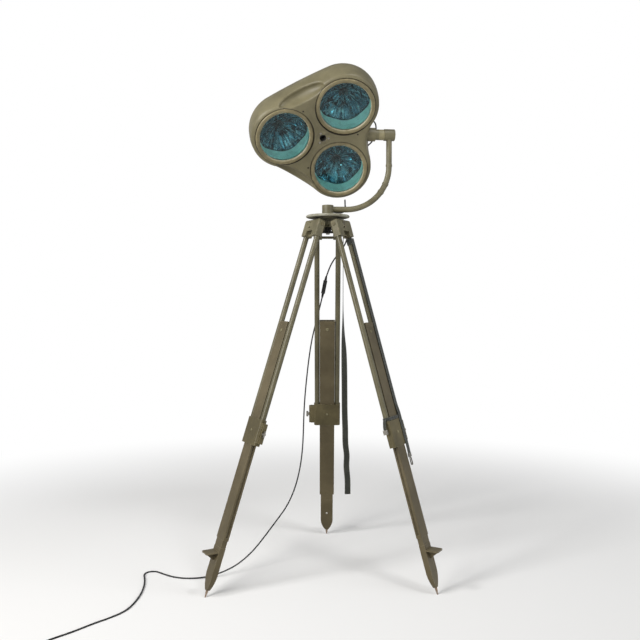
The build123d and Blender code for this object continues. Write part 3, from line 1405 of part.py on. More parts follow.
def socket_screws():
    screws = Part()
    top = FACE_HEIGHT + HANDLE_SOCKET_PROUD
    for x, y in screw_places():
        screw = disc(SOCKET_SCREW_RADIUS, top - SOCKET_SCREW_DEPTH, top)
        screw += disc(SOCKET_SCREW_HEAD, top, top + SOCKET_SCREW_HEAD_HEIGHT)
        screws += Pos(x, y, 0) * screw
    return screws


def export():
    os.makedirs("parts", exist_ok=True)
    for name, shape in NODES.items():
        export_step(shape, "parts/" + name + ".step")
    print(len(NODES), "nodes")


tripod_head()
legs()
webbing()
yoke()
head()
cord_and_fittings()
export()
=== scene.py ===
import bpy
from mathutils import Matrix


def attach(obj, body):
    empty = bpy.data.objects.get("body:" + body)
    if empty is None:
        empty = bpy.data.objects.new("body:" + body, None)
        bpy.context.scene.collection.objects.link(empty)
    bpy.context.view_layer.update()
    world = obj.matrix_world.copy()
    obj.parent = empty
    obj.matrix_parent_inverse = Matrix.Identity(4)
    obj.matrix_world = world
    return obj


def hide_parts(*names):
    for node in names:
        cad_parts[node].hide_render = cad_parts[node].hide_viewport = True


bl_info = {
    "name": "Surgical Floor Lamp",
    "version": (1, 0, 0),
    "blender": (4, 5, 0),
    "location": "View3D > Sidebar > Floor Lamp",
    "description": "Dresses the packed frame of a three-lamp surgical floor lamp on its tripod",
    "category": "Object",
}

from math import atan2, cos, hypot, pi, radians, sin, tan

import bmesh
import bpy
import numpy as np
from bpy.props import FloatProperty, FloatVectorProperty, PointerProperty
from bpy.types import Operator, Panel, PropertyGroup
from mathutils import Matrix, Vector

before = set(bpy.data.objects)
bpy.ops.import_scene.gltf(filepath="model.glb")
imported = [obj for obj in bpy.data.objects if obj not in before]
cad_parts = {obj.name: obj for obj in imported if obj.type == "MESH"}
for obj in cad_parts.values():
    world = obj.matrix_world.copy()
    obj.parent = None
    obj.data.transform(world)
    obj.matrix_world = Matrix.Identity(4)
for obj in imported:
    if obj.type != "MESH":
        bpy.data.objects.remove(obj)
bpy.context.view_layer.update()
MM = 0.001
MERGE = 1e-6

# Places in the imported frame, in millimetres, as the part's source names them

HEAD_OFFSET = -26.0
HEAD_YAW = 8.0
HEAD_TILT = 36.5
TILT_Z = 1845.0
YOKE_REACH = 261.0
LAMP_CIRCLE = 158.5
LAMP_LEAN = 7.0
SEAT_HEIGHT = 50.0
LAMPS = {"left": 180.0, "top": 60.0, "bottom": -60.0}
GLINTS = {"left": (-57.0, 0.62), "top": (-103.0, 0.50), "bottom": (-77.0, 0.72)}
LEGS = {"left": (210.0, 551.0), "right": (330.0, 493.0), "back": (90.0, 522.0)}
HINGE_RADIUS = 60.0
HINGE_Z = 1462.0

# The head's face, its lamp rings, glasses, bowls and bulbs
FACE_HEIGHT = 48.0
FACE_DISH = 3.0
BEZEL_INNER = 103.0
BEZEL_OUTER = 120.0
BEZEL_HEIGHT = 8.0
GLASS_RADIUS = 105.5
GLASS_WALL = 4.0
GLASS_CROWN = 7.0
GLASS_DROP = 1.0
BOWL_MOUTH = 99.0
BOWL_THROAT = 17.0
BOWL_DEPTH = 120.0
BOWL_TOP = -8.0
BOWL_WALL = 1.6
BOWL_LEDGE = -10.0
BOWL_LIP = 0.30
BULB_RADIUS = 11.0
BULB_LENGTH = 46.0
BULB_SINK = 2.0
COLLAR_RADIUS = 15.5
COLLAR_FLANGE = 19.5
COLLAR_HEIGHT = 8.0
FACE_SCREW_CIRCLE = 144.0
FACE_SCREW_ANGLES = (8.8, 128.8, 248.8)
BEZEL_SEAT = 121.5
STUB_BAND = (242.0, 263.0)
PLATE_RADIUS = 91.5

# The legs, down from their hinges
BAR_TOP = 440.0
BAR_HALF_DEPTH = 11.5
COLLAR_TOP = 828.0
COLLAR_BOTTOM = 933.0
COLLAR_HALF_DEPTH = 14.5
COLLAR_RIVET = COLLAR_TOP + 0.47 * (COLLAR_BOTTOM - COLLAR_TOP)
BAR_SCREW = BAR_TOP + 21.0
RAIL_SPACING = 91.5
SHOE_SCREW = 124.0
SCREW_SINK = 0.6

# The supply lead: its bush in the tripod's head, its switch, its route and its coil
BUSH_AZIMUTH = 30.0
BUSH_REACH = 47.0
CASTING_EDGE = 18.0
CASTING_SLOPE = 8.0 / 34.0
SWITCH_TOP = (-8.0, 160.0, 1238.0)
SWITCH_BOTTOM = (-20.0, 180.0, 1177.0)
SWITCH_REACH = 44.0
UPPER_ROUTE = [
    (64.5, 37.0, 1448.0),
    (79.0, 60.0, 1441.0),
    (86.0, 90.0, 1421.0),
    (76.0, 116.0, 1390.0),
    (54.0, 130.0, 1359.0),
    (29.0, 134.0, 1328.0),
    (8.0, 143.0, 1291.0),
]
LOWER_ROUTE = [
    (-37.0, 199.0, 1103.0),
    (-52.0, 214.0, 1046.0),
    (-69.0, 219.0, 975.0),
    (-82.0, 216.0, 892.0),
    (-92.0, 212.0, 805.0),
    (-100.0, 209.0, 722.0),
    (-105.0, 207.0, 640.0),
    (-107.0, 203.0, 560.0),
    (-111.0, 196.0, 478.0),
    (-122.0, 184.0, 395.0),
    (-143.0, 166.0, 315.0),
    (-176.0, 142.0, 243.0),
    (-222.0, 112.0, 186.0),
    (-271.0, 80.0, 127.0),
    (-318.0, 40.0, 76.0),
    (-375.0, -14.0, 38.0),
    (-440.0, -58.0, 17.0),
    (-512.0, -82.0, 4.5),
    (-588.0, -88.0, 3.3),
    (-645.0, -68.0, 3.3),
    (-688.0, -36.0, 3.3),
    (-725.0, -4.0, 3.3),
    (-755.0, -9.0, 3.3),
    (-771.0, -36.0, 3.3),
    (-753.0, -93.0, 3.3),
    (-738.0, -168.0, 3.3),
    (-731.0, -252.0, 3.3),
    (-735.0, -334.0, 3.3),
    (-748.0, -408.0, 3.3),
    (-786.0, -466.0, 3.3),
    (-838.0, -520.0, 3.3),
    (-884.0, -582.0, 3.3),
    (-938.0, -636.0, 3.3),
    (-973.0, -680.0, 3.3),
    (-985.0, -715.0, 4.1),
]
COIL_START = (-985.0, -739.0, 4.1)
COIL_OUTER = 47.0
COIL_STEP = 3.8
COIL_HALF_TURNS = 7
COIL_LAYER = 7.3
COIL_POINTS_PER_HALF = 8
COIL_EXIT = ((0.0, 20.0), (6.0, 40.0), (26.0, 47.0), (94.0, 47.0))
CORD_RADIUS = 3.0

# The lead on the yoke, in the yoke's frame, and the short one, in the head's
YOKE_CORD_TOP = [
    (261.0, 16.0, 1829.0),
    (261.0, 29.0, 1814.0),
    (261.0, 31.0, 1790.0),
    (261.0, 24.5, 1764.0),
    (261.0, 16.5, 1736.0),
]
YOKE_BEND_RADIUS = 185.0
YOKE_ARM_Z = 1529.0
YOKE_CORD_BACK = 16.5
YOKE_CORD_ANGLES = (84.0, 72.0, 60.0, 48.0, 36.0, 24.0)
YOKE_CORD_BIGHT = [
    (124.0, 17.0, 1533.0),
    (103.0, 27.0, 1529.0),
    (89.0, 47.0, 1533.0),
    (86.0, 70.0, 1551.0),
    (88.0, 88.0, 1571.0),
    (91.5, 108.0, 1584.0),
    (96.0, 132.0, 1585.0),
    (99.5, 149.0, 1567.0),
    (97.5, 145.0, 1544.0),
    (85.0, 124.0, 1530.0),
    (61.0, 93.0, 1526.0),
    (35.0, 62.0, 1524.0),
    (11.0, 20.0, 1524.0),
]
HEAD_LEAD_ROUTE = [
    (212.0, 38.0, -62.0),
    (231.0, 33.0, -60.0),
    (240.0, 13.0, -54.0),
    (240.0, -18.0, -50.0),
    (234.0, -54.0, -56.0),
    (216.0, -80.0, -64.0),
]
HEAD_GLANDS = ((190.0, 42.0, -62.0), (198.0, -98.0, -60.0))
GLAND_SINK = 8.0

# The hanging strap: its points, each with the turn of its width in degrees
STRAP_THICKNESS = 2.2
RIB_PITCH = 1.9
WARP_PITCH = 1.5
TICK_PITCH = 6.4
STRAP_HOOK = (66.0, 46.0, 1425.0)
STRAP_ROUTE = [
    (66.0, 46.0, 1418.0, 90.0),
    (66.0, 47.0, 1390.0, 90.0),
    (66.0, 52.0, 1330.0, 89.0),
    (66.0, 58.0, 1230.0, 88.0),
    (66.0, 60.0, 1090.0, 82.0),
    (67.0, 60.0, 1000.0, 58.0),
    (70.0, 60.0, 930.0, 28.0),
    (71.5, 60.0, 860.0, 8.0),
    (72.5, 60.0, 765.0, 2.0),
    (73.5, 60.0, 661.0, 0.0),
    (75.5, 60.0, 600.0, -3.0),
    (77.0, 60.0, 530.0, 0.0),
    (82.0, 60.0, 484.0, 6.0),
    (81.0, 61.0, 436.0, 3.0),
    (85.5, 60.0, 380.0, -4.0),
    (86.0, 60.0, 315.0, 3.0),
]

# The strap down the right leg, in the leg's frame: out of its face and up it
LEG_STRAP_AT = 48.75
LEG_STRAP = [(12.75, -60.0), (12.75, -772.0), (16.0, -804.0), (16.0, -937.0), (14.5, -985.0)]
LEG_STRAP_LOOP = 13.0
NARROW_WIDTH = 13.0
NARROW_LOW = -826.0
NARROW_REACH = 13.2
NARROW_TAIL = [(-58.9, -819.0), (-66.0, -822.0), (-73.0, -834.0), (-80.0, -848.0), (-82.0, -862.0)]

# The photograph's camera: its place, turn and focal length in pixels of a 640-pixel frame
CAMERA_AT = (-0.0326, -3.158, 1.15)
CAMERA_PITCH = 1.522
CAMERA_FOCAL_PX = 752.7
FRAME_PX = 640.0
SENSOR_MM = 36.0

# Colours of dust and rust, of what shows where the enamel is gone, and of painted shade and painted dark
# reflection
DUST = (0.33, 0.31, 0.23)
# Painted shade in the gap round each lamp ring
GAP_SHADE = (0.018, 0.015, 0.010)
RUST = (0.085, 0.045, 0.022)
PRIMER = (0.235, 0.190, 0.125)
DARK_IRON = (0.030, 0.022, 0.016)
CHIPPED = (0.028, 0.021, 0.014)
# Painted dark reflection in the lamp bowls
PAINTED_DARK_REFLECTION = (0.004, 0.005, 0.007)


# Frames: a 4 by 4 array whose columns are the X, Y and Z directions and the origin

def plane(origin, x_dir, z_dir):
    x = np.array(x_dir, float)
    z = np.array(z_dir, float)
    x, z = x / np.linalg.norm(x), z / np.linalg.norm(z)
    frame = np.eye(4)
    frame[:3, 0], frame[:3, 1], frame[:3, 2], frame[:3, 3] = x, np.cross(z, x), z, origin
    return frame


def placed(frame, points):
    """Points of a frame's own coordinates, as an array of any shape ending in 3, in the row's."""
    return np.asarray(points, float) @ frame[:3, :3].T + frame[:3, 3]


def polar(azimuth, radius, z=0.0):
    return np.array((radius * cos(radians(azimuth)), radius * sin(radians(azimuth)), z))


def head_frame():
    yaw, tilt = radians(HEAD_YAW), radians(HEAD_TILT)
    forward = (sin(yaw) * cos(tilt), -cos(yaw) * cos(tilt), -sin(tilt))
    return plane(polar(HEAD_YAW, HEAD_OFFSET, TILT_Z), (cos(yaw), sin(yaw), 0), forward)


def lamp_frame(angle):
    lean = radians(LAMP_LEAN)
    at = polar(angle, LAMP_CIRCLE, SEAT_HEIGHT)
    local = plane(at, polar(angle, cos(lean), sin(lean)), polar(angle, -sin(lean), cos(lean)))
    return head_frame() @ local


def leg_frame(name):
    azimuth, reach = LEGS[name]
    lean = atan2(reach - HINGE_RADIUS, HINGE_Z)
    outward = polar(azimuth, cos(lean), sin(lean))
    up = polar(azimuth, -sin(lean), cos(lean))
    return plane(polar(azimuth, HINGE_RADIUS, HINGE_Z), outward, up)


def leg_length(name):
    return hypot(LEGS[name][1] - HINGE_RADIUS, HINGE_Z)


def yoke_frame():
    return plane((0, 0, 0), polar(HEAD_YAW, 1.0), (0, 0, 1))


# Meshes from grids of points

class Shape:
    """Grids of points gathered into one mesh: a grid's rows run along it and its columns across."""

    def __init__(self):
        self.points, self.quads, self.uvs, self.count = [], [], [], 0

    def grid(self, points, wrap=(False, False), u=None, v=None):
        points = np.asarray(points, float)
        rows, columns = points.shape[:2]
        i = np.arange(rows if wrap[0] else rows - 1)[:, None]
        j = np.arange(columns if wrap[1] else columns - 1)[None, :]
        i, j = np.broadcast_arrays(i, j)
        ni, nj = (i + 1) % rows, (j + 1) % columns
        corners = np.stack([i * columns + j, ni * columns + j, ni * columns + nj, i * columns + nj], -1)
        u = np.linspace(0, 1, rows + 1) if u is None else np.asarray(u, float)
        v = np.linspace(0, 1, columns + 1) if v is None else np.asarray(v, float)
        iu, jv = np.minimum(i + 1, len(u) - 1), np.minimum(j + 1, len(v) - 1)
        spots = np.stack(
            [np.stack([u[i], v[j]], -1), np.stack([u[iu], v[j]], -1),
             np.stack([u[iu], v[jv]], -1), np.stack([u[i], v[jv]], -1)], -2)
        self.quads.append(corners.reshape(-1, 4) + self.count)
        self.uvs.append(spots.reshape(-1, 2))
        self.points.append(points.reshape(-1, 3))
        self.count += rows * columns

    def build(self, name, material, body):
        """Makes the object in metres, closes its poles and seams, and puts it on its body."""
        mesh = bpy.data.meshes.new(name)
        points = np.concatenate(self.points) * MM
        quads = np.concatenate(self.quads)
        mesh.from_pydata(points.tolist(), [], quads.tolist())
        layer = mesh.uv_layers.new(name="UVMap")
        layer.data.foreach_set("uv", np.concatenate(self.uvs).astype(np.float32).ravel())
        work = bmesh.new()
        work.from_mesh(mesh)
        bmesh.ops.remove_doubles(work, verts=work.verts, dist=MERGE)
        bmesh.ops.recalc_face_normals(work, faces=work.faces)
        work.to_mesh(mesh)
        work.free()
        mesh.shade_smooth()
        piece = bpy.data.objects.new(name, mesh)
        bpy.context.collection.objects.link(piece)
        mesh.materials.append(material)
        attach(piece, body)
        return piece


def turned(profile, steps):
    """A profile of (radius, height) points carried round the Z axis: rows follow the turn."""
    profile = np.asarray(profile, float)
    angle = np.arange(steps) * 2 * pi / steps
    radius, height = profile[:, 0], profile[:, 1]
    x = np.cos(angle)[:, None] * radius
    y = np.sin(angle)[:, None] * radius
    return np.stack([x, y, np.broadcast_to(height, x.shape)], -1)


def rounded(corners, radii, steps):
    """A closed outline with an arc of the given radius at each corner: points on the tangent arcs."""
    corners = [np.array(c, float) for c in corners]
    out = []
    for k, (at, radius) in enumerate(zip(corners, radii)):
        before = corners[k - 1] - at
        after = corners[(k + 1) % len(corners)] - at
        before, after = before / np.linalg.norm(before), after / np.linalg.norm(after)
        half = np.arccos(np.clip(before @ after, -1, 1)) / 2
        if radius <= 0 or half > pi / 2 - 1e-3:
            out.append(at[None])
            continue
        reach = radius / tan(half)
        middle = at + (before + after) / np.linalg.norm(before + after) * radius / sin(half)
        first, last = at + before * reach - middle, at + after * reach - middle
        share = np.linspace(0, 1, steps + 1)[:, None]
        chord = first * (1 - share) + last * share
        out.append(middle + chord / np.linalg.norm(chord, axis=1, keepdims=True) * radius)
    return np.concatenate(out)


def pipe(path, radius, sides):
    """A round wire: a circle of the radius, square to the path at each point, closed at both ends."""
    path = np.asarray(path, float)
    along = np.gradient(path, axis=0)
    along /= np.linalg.norm(along, axis=1, keepdims=True)
    aside = np.cross(along, (0.31, 0.52, 0.80))
    aside /= np.linalg.norm(aside, axis=1, keepdims=True)
    over = np.cross(along, aside)
    angle = np.arange(sides) * 2 * pi / sides
    ring = np.cos(angle)[None, :, None] * aside[:, None] + np.sin(angle)[None, :, None] * over[:, None]
    rows = path[:, None] + radius * ring
    ends = [np.broadcast_to(path[k], (1, sides, 3)) for k in (0, -1)]
    return np.concatenate([ends[0], rows, ends[1]])


def smooth_through(x, y, at):
    """A smooth curve through points: cubic pieces whose slopes are the neighbours' mean slope."""
    slope = np.gradient(y, x)
    k = np.clip(np.searchsorted(x, at) - 1, 0, len(x) - 2)
    span = x[k + 1] - x[k]
    t = (at - x[k]) / span
    h00, h10 = 2 * t ** 3 - 3 * t ** 2 + 1, t ** 3 - 2 * t ** 2 + t
    h01, h11 = -2 * t ** 3 + 3 * t ** 2, t ** 3 - t ** 2
    return h00 * y[k] + h10 * span * slope[k] + h01 * y[k + 1] + h11 * span * slope[k + 1]


def eased(points, steps, tightness):
    """A bent line with its corners eased: points spread evenly along it, then averaged over a window."""
    points = np.asarray(points, float)
    far = np.concatenate([[0], np.cumsum(np.linalg.norm(np.diff(points, axis=0), axis=1))])
    at = np.linspace(0, far[-1], steps)
    even = np.stack([np.interp(at, far, points[:, k]) for k in range(points.shape[1])], -1)
    reach = max(1, int(tightness / (far[-1] / steps)))
    padded = np.concatenate([2 * even[:1] - even[reach:0:-1], even, 2 * even[-1:] - even[-2:-reach - 2:-1]])
    window = np.ones(2 * reach + 1) / (2 * reach + 1)
    return np.stack([np.convolve(padded[:, k], window, "valid") for k in range(points.shape[1])], -1)


def band(shape, path, sideways, width, thickness=STRAP_THICKNESS, closed=False):
    """A flat strap along a path: a rounded oblong section set on the path's own two directions.

    The UV map's first number is the length along the strap and its second the place across it."""
    path = np.asarray(path, float)
    along = np.roll(path, -1, 0) - np.roll(path, 1, 0) if closed else np.gradient(path, axis=0)
    along /= np.linalg.norm(along, axis=1, keepdims=True)
    sideways = np.broadcast_to(sideways, path.shape)
    over = np.cross(along, sideways)
    half, deep = width / 2, thickness / 2
    corners = [(-half, -deep), (half, -deep), (half, deep), (-half, deep)]
    section = rounded(corners, [deep * 0.8] * 4, 3)
    rows = path[:, None] + section[None, :, :1] * sideways[:, None] + section[None, :, 1:] * over[:, None]
    steps = np.linalg.norm(np.diff(np.concatenate([path, path[:1]]) if closed else path, axis=0), axis=1)
    length = np.concatenate([[0], np.cumsum(steps)])
    across = np.append(section[:, 0], section[0, 0])
    if not closed:
        rows = np.concatenate([np.broadcast_to(path[0], (1,) + rows.shape[1:]), rows,
                               np.broadcast_to(path[-1], (1,) + rows.shape[1:])])
        length = np.concatenate([[0], length, length[-1:]])
    shape.grid(rows, wrap=(closed, True), u=length, v=across)
    return length[-1]


# Shader maths

class Sum:
    """A socket that takes part in Python expressions, which add Math nodes."""

    def __init__(self, paint, socket):
        self.paint, self.socket = paint, socket

    def maths(self, operation, *values, clamp=False):
        settings = {"operation": operation, "use_clamp": clamp}
        return self.paint.node("ShaderNodeMath", settings, dict(enumerate(values)))

    def __add__(self, other):
        return self.maths("ADD", self, other)

    def __mul__(self, other):
        return self.maths("MULTIPLY", self, other)

    def __sub__(self, other):
        return self.maths("SUBTRACT", self, other)

    def __rsub__(self, other):
        return self.maths("SUBTRACT", other, self)

    def __pow__(self, other):
        return self.maths("POWER", self, other)

    __radd__, __rmul__ = __add__, __mul__

    def clamped(self):
        return self.maths("ADD", self, 0.0, clamp=True)

    def wave(self):
        return self.maths("SINE", self)

    def above(self, low, high):
        """A smooth step: 0 below low, 1 above high."""
        inputs = {"Value": self, "From Min": low, "From Max": high}
        return self.paint.node("ShaderNodeMapRange", {"interpolation_type": "SMOOTHSTEP"}, inputs, "Result")

    def within(self, low, high, soft):
        """1 between low and high, falling to 0 over soft on either side."""
        return self.above(low - soft, low) * (1.0 - self.above(high, high + soft))


class Paint:
    """One node material, or the world's air, under construction."""

    def __init__(self, name, air=False):
        self.air = air
        self.material = bpy.data.worlds.new(name) if air else bpy.data.materials.new(name)
        self.material.use_nodes = True
        self.tree = self.material.node_tree
        self.tree.nodes.clear()

    def feed(self, socket, value):
        if isinstance(value, Sum):
            self.tree.links.new(value.socket, socket)
        elif isinstance(value, tuple) and len(value) == 3 and socket.type == "RGBA":
            socket.default_value = (*value, 1.0)
        else:
            socket.default_value = value

    def node(self, kind, settings=None, inputs=None, output=0):
        """Adds a node: its settings first, then its sockets by name or number."""
        node = self.tree.nodes.new(kind)
        for key, value in (settings or {}).items():
            setattr(node, key, value)
        for key, value in (inputs or {}).items():
            self.feed(node.inputs[key], value)
        return Sum(self, node.outputs[output])

    def place(self):
        return self.node("ShaderNodeTexCoord", output="Object")

    def split(self, vector):
        node = self.tree.nodes.new("ShaderNodeSeparateXYZ")
        self.feed(node.inputs[0], vector)
        return [Sum(self, output) for output in node.outputs]

    def uv(self):
        return self.split(self.node("ShaderNodeUVMap"))[:2]

    def joined(self, x, y, z):
        return self.node("ShaderNodeCombineXYZ", {}, {0: x, 1: y, 2: z})

    def stretched(self, vector, scale):
        return self.node("ShaderNodeMapping", {}, {"Vector": vector, "Scale": scale})

    def noise(self, vector, scale, detail, rough=0.55, warp=0.0):
        inputs = {"Vector": vector, "Scale": scale, "Detail": detail, "Roughness": rough, "Distortion": warp}
        return self.node("ShaderNodeTexNoise", {}, inputs, "Fac")

    def cells(self, vector, scale):
        return self.node("ShaderNodeTexVoronoi", {}, {"Vector": vector, "Scale": scale}, "Distance")

    def mix(self, factor, low, high):
        return self.node("ShaderNodeMix", {"data_type": "RGBA"}, {0: factor, 6: low, 7: high}, 2)

    def bump(self, height, strength, distance):
        inputs = {"Height": height, "Strength": strength, "Distance": distance}
        return self.node("ShaderNodeBump", {}, inputs)

    def edges(self, radius):
        """1 on edges sharper than the radius, 0 on open faces."""
        bevel = self.node("ShaderNodeBevel", {"samples": 4}, {"Radius": radius})
        flat = self.node("ShaderNodeNewGeometry", output="Normal")
        product = {"operation": "DOT_PRODUCT"}
        together = self.node("ShaderNodeVectorMath", product, {0: bevel, 1: flat}, "Value")
        return (1.0 - together).above(0.02, 0.25)

    def local(self, frame):
        """Object coordinates as millimetres in a piece's own frame, split into its three directions."""
        turn = Matrix(frame[:3, :3].tolist()).to_euler()
        inputs = {"Vector": self.place(), "Location": frame[:3, 3] * MM, "Rotation": turn,
                  "Scale": (MM, MM, MM)}
        return self.split(self.node("ShaderNodeMapping", {"vector_type": "TEXTURE"}, inputs))

    def seen(self):
        """1 where the camera looks at the studio itself, 0 for all the light it gives."""
        return self.node("ShaderNodeLightPath", output="Is Camera Ray")

    def blend(self, factor, low, high):
        return self.node("ShaderNodeMixShader", {}, {0: factor, 1: low, 2: high})

    def finish(self, shader):
        output = self.tree.nodes.new("ShaderNodeOutputWorld" if self.air else "ShaderNodeOutputMaterial")
        self.tree.links.new(shader.socket, output.inputs["Surface"])
        return self.material

    def finished(self, **sockets):
        """The material with a Principled shader, whose sockets have underscores in their names."""
        inputs = {key.replace("_", " "): value for key, value in sockets.items()}
        return self.finish(self.node("ShaderNodeBsdfPrincipled", {}, inputs))


def radius_of(x, y):
    return (x * x + y * y) ** 0.5


def tinted(colour, share, more=0.0):
    """A colour made darker or lighter by a share, and paler by what is added, up to white."""
    return tuple(min(1.0, c * share + more) for c in colour)


# Finishes

def enamel(name, colour, worn=0.5, grime=0.5, gloss=0.42, cloudy=0.3, marks=None):
    """Sprayed enamel: cloudy, finely rippled, chipped at edges and lighter there, partly rubbed and partly a
    painted highlight, dusty above, and darkened in corners by painted shade.
    """
    paint = Paint(name)
    place = paint.place()
    cloud = paint.noise(place, 7.0, 4.0, 0.6)
    mottle = paint.noise(place, 46.0, 5.0, 0.62)
    fine = paint.noise(place, 420.0, 2.0)
    light = tinted(colour, 1 + cloudy, 0.008)
    dark = tinted(colour, 1 - cloudy)
    dust = tuple(c * 0.6 + d * 0.4 for c, d in zip(light, DUST))
    base = paint.mix(cloud.above(0.32, 0.68), dark, light)
    base = paint.mix(mottle.above(0.42, 0.66) * 0.35, base, colour)
    up = paint.split(paint.node("ShaderNodeNewGeometry", output="Normal"))[2]
    settled = up.above(0.25, 1.0) * mottle.above(0.35, 0.6) * grime
    base = paint.mix(settled * 0.6, base, dust)
    blotch_mask = paint.noise(paint.stretched(place, (34, 34, 5.0)), 1.0, 4.0, 0.7).above(0.56, 0.74)
    base = paint.mix(blotch_mask * 0.35 * grime, base, dark)
    # Painted shade: corners and crevices darkened by ambient occlusion
    open_sky = paint.node("ShaderNodeAmbientOcclusion", {"samples": 6}, {"Distance": 0.035}, "AO")
    painted_crevice_shade = (1.0 - open_sky).above(0.22, 0.85) * (mottle * 0.6 + 0.5).clamped()
    base = paint.mix(painted_crevice_shade * 0.75, base, tinted(colour, 0.28))
    edge = paint.edges(0.0024)
    # Lighter edges: partly rubbed paint, partly a painted highlight
    lighter_edge = (edge * mottle.above(0.34, 0.52)).clamped() * worn
    base = paint.mix(lighter_edge, base, tinted(colour, 2.3, 0.09))
    specks = 1.0 - paint.cells(place, 95.0).above(0.035, 0.075)
    bare = (specks * cloud.above(0.52, 0.6) + edge * mottle.above(0.6, 0.66)).clamped() * worn
    base = paint.mix(bare * 0.8, base, CHIPPED)
    if marks:
        base = marks(paint, place, mottle, base)
    peel = paint.noise(place, 900.0, 1.0)
    normal = paint.bump(peel * 0.5 + mottle * 0.5 + bare * -1.2, 0.22, 0.0006)
    rough = gloss + fine * 0.1 + settled * 0.3 + bare * 0.25 + painted_crevice_shade * 0.2
    return paint.finished(Base_Color=base, Roughness=rough, Normal=normal, Metallic=0.0,
                                     IOR=1.45)


def painted_gap_shade(paint, place, mottle, base):
    """The head's mark: painted shade, a dark line round each lamp ring's seat where the gap beside the ring
    is in shade.
    """
    for angle in LAMPS.values():
        out = radius_of(*paint.local(lamp_frame(angle))[:2])
        line = out.within(BEZEL_SEAT - 1.5, BEZEL_SEAT + 1.1, 0.9)
        # Painted shade: the dark gap line beside each ring
        base = paint.mix(line * 0.88, base, GAP_SHADE)
    return base


def stub_band(paint, place, mottle, base):
    """The stub's mark: a pale band rubbed next to the sleeve."""
    x = paint.local(head_frame())[0]
    rubbed = x.within(*STUB_BAND, 1.2)
    return paint.mix(rubbed * (mottle * 0.7 + 0.35).clamped(), base, (0.34, 0.30, 0.17))


def plate_rim(paint, place, mottle, base):
    """The plate's mark: a pale rim worn through, blotched, with the paint left towards the middle."""
    out = radius_of(*paint.split(place)[:2])
    rim = out.above((PLATE_RADIUS - 16.0) * MM, (PLATE_RADIUS - 4.0) * MM)
    worn = paint.noise(place, 26.0, 4.0, 0.6).above(0.34, 0.56)
    return paint.mix(rim * worn * 0.85, base, (0.40, 0.39, 0.32))


def primer_patches(paint, place, mottle, base):
    """The brackets' mark: places where the paint is knocked off down to warm primer and dark metal."""
    lost = paint.noise(place, 33.0, 4.0, 0.6, 0.5)
    base = paint.mix(lost.above(0.585, 0.62) * 0.7, base, PRIMER)
    return paint.mix(lost.above(0.64, 0.66), base, DARK_IRON)


def worn_steel(name, colour=(0.38, 0.36, 0.32), rust=0.35, rough=0.38):
    """Old bare steel: fine streaks, dull patches and a little brown rust in the low places."""
    paint = Paint(name)
    place = paint.place()
    patches = paint.noise(place, 60.0, 5.0, 0.65)
    streaks = paint.noise(paint.stretched(place, (900, 900, 90)), 1.0, 2.0)
    brown = patches.above(0.53, 0.68) * rust
    base = paint.mix(streaks, tinted(colour, 0.75), tinted(colour, 1.2))
    base = paint.mix(brown, base, RUST)
    normal = paint.bump(streaks * 0.4 + patches, 0.25, 0.0004)
    return paint.finished(Base_Color=base, Metallic=1.0 - brown, Roughness=rough + brown * 0.4,
                                     Normal=normal)


def black_iron(name, colour=(0.03, 0.028, 0.026)):
    """Blackened iron: near black, pitted, a little lighter where it is handled."""
    paint = Paint(name)
    place = paint.place()
    pits = paint.noise(place, 350.0, 3.0)
    lighter_edge = paint.edges(0.001) * 0.6
    base = paint.mix(lighter_edge, colour, (0.16, 0.15, 0.13))
    normal = paint.bump(pits, 0.3, 0.0004)
    return paint.finished(Base_Color=base, Metallic=0.65, Roughness=0.5 + pits * 0.2, Normal=normal)


def webbing(name, half_width, colour=(0.026, 0.028, 0.021)):
    """Woven webbing: ribs across and warp threads along, with a row of pale ticks inside each edge."""
    paint = Paint(name)
    along, across = paint.uv()
    rib = (along * (2 * pi / RIB_PITCH)).wave()
    warp = (across * (2 * pi / WARP_PITCH) + rib * 0.9).wave()
    weave = (rib * 0.5 + warp * 0.5) * 0.5 + 0.5
    place = paint.place()
    fuzz = paint.noise(place, 900.0, 2.0)
    fade = paint.noise(place, 24.0, 4.0, 0.65)
    light = tinted(colour, 2.0, 0.006)
    base = paint.mix((weave * 0.65 + fuzz * 0.35).clamped(), tinted(colour, 0.45), light)
    base = paint.mix(fade.above(0.5, 0.72) * 0.3, base, (0.085, 0.085, 0.070))
    edge = (across * across) * (1.0 / half_width ** 2)
    tick = (along * (2 * pi / TICK_PITCH)).wave().above(0.1, 0.7)
    row = edge.above(0.45, 0.55) * (1.0 - edge.above(0.74, 0.84))
    base = paint.mix(row * tick * 0.85, base, (0.205, 0.210, 0.160))
    normal = paint.bump(weave + fuzz * 0.4 + row * tick * 0.6, 0.8, 0.0007)
    return paint.finished(Base_Color=base, Roughness=0.9, Normal=normal, Sheen_Weight=0.25,
                                     Sheen_Roughness=0.5)


def lead_rubber(name, colour=(0.016, 0.016, 0.017)):
    """A rubber-sheathed lead: black with a dusty bloom and faint wipe marks."""
    paint = Paint(name)
    place = paint.place()
    bloom = paint.noise(place, 30.0, 5.0, 0.65)
    fine = paint.noise(place, 700.0, 2.0)
    base = paint.mix(bloom.above(0.42, 0.75) * 0.5, colour, (0.07, 0.068, 0.062))
    normal = paint.bump(fine, 0.25, 0.0003)
    return paint.finished(Base_Color=base, Roughness=0.5 + bloom * 0.25, Normal=normal)


def moulded(name, colour, rough=0.35):
    """Moulded phenolic plastic: slight mould grain and faint cloudy variation."""
    paint = Paint(name)
    place = paint.place()
    grain = paint.noise(place, 520.0, 2.0)
    cloud = paint.noise(place, 40.0, 4.0)
    base = paint.mix(cloud, tinted(colour, 0.8), tinted(colour, 1.5, 0.004))
    normal = paint.bump(grain, 0.18, 0.0003)
    return paint.finished(Base_Color=base, Roughness=rough + grain * 0.12, Normal=normal)


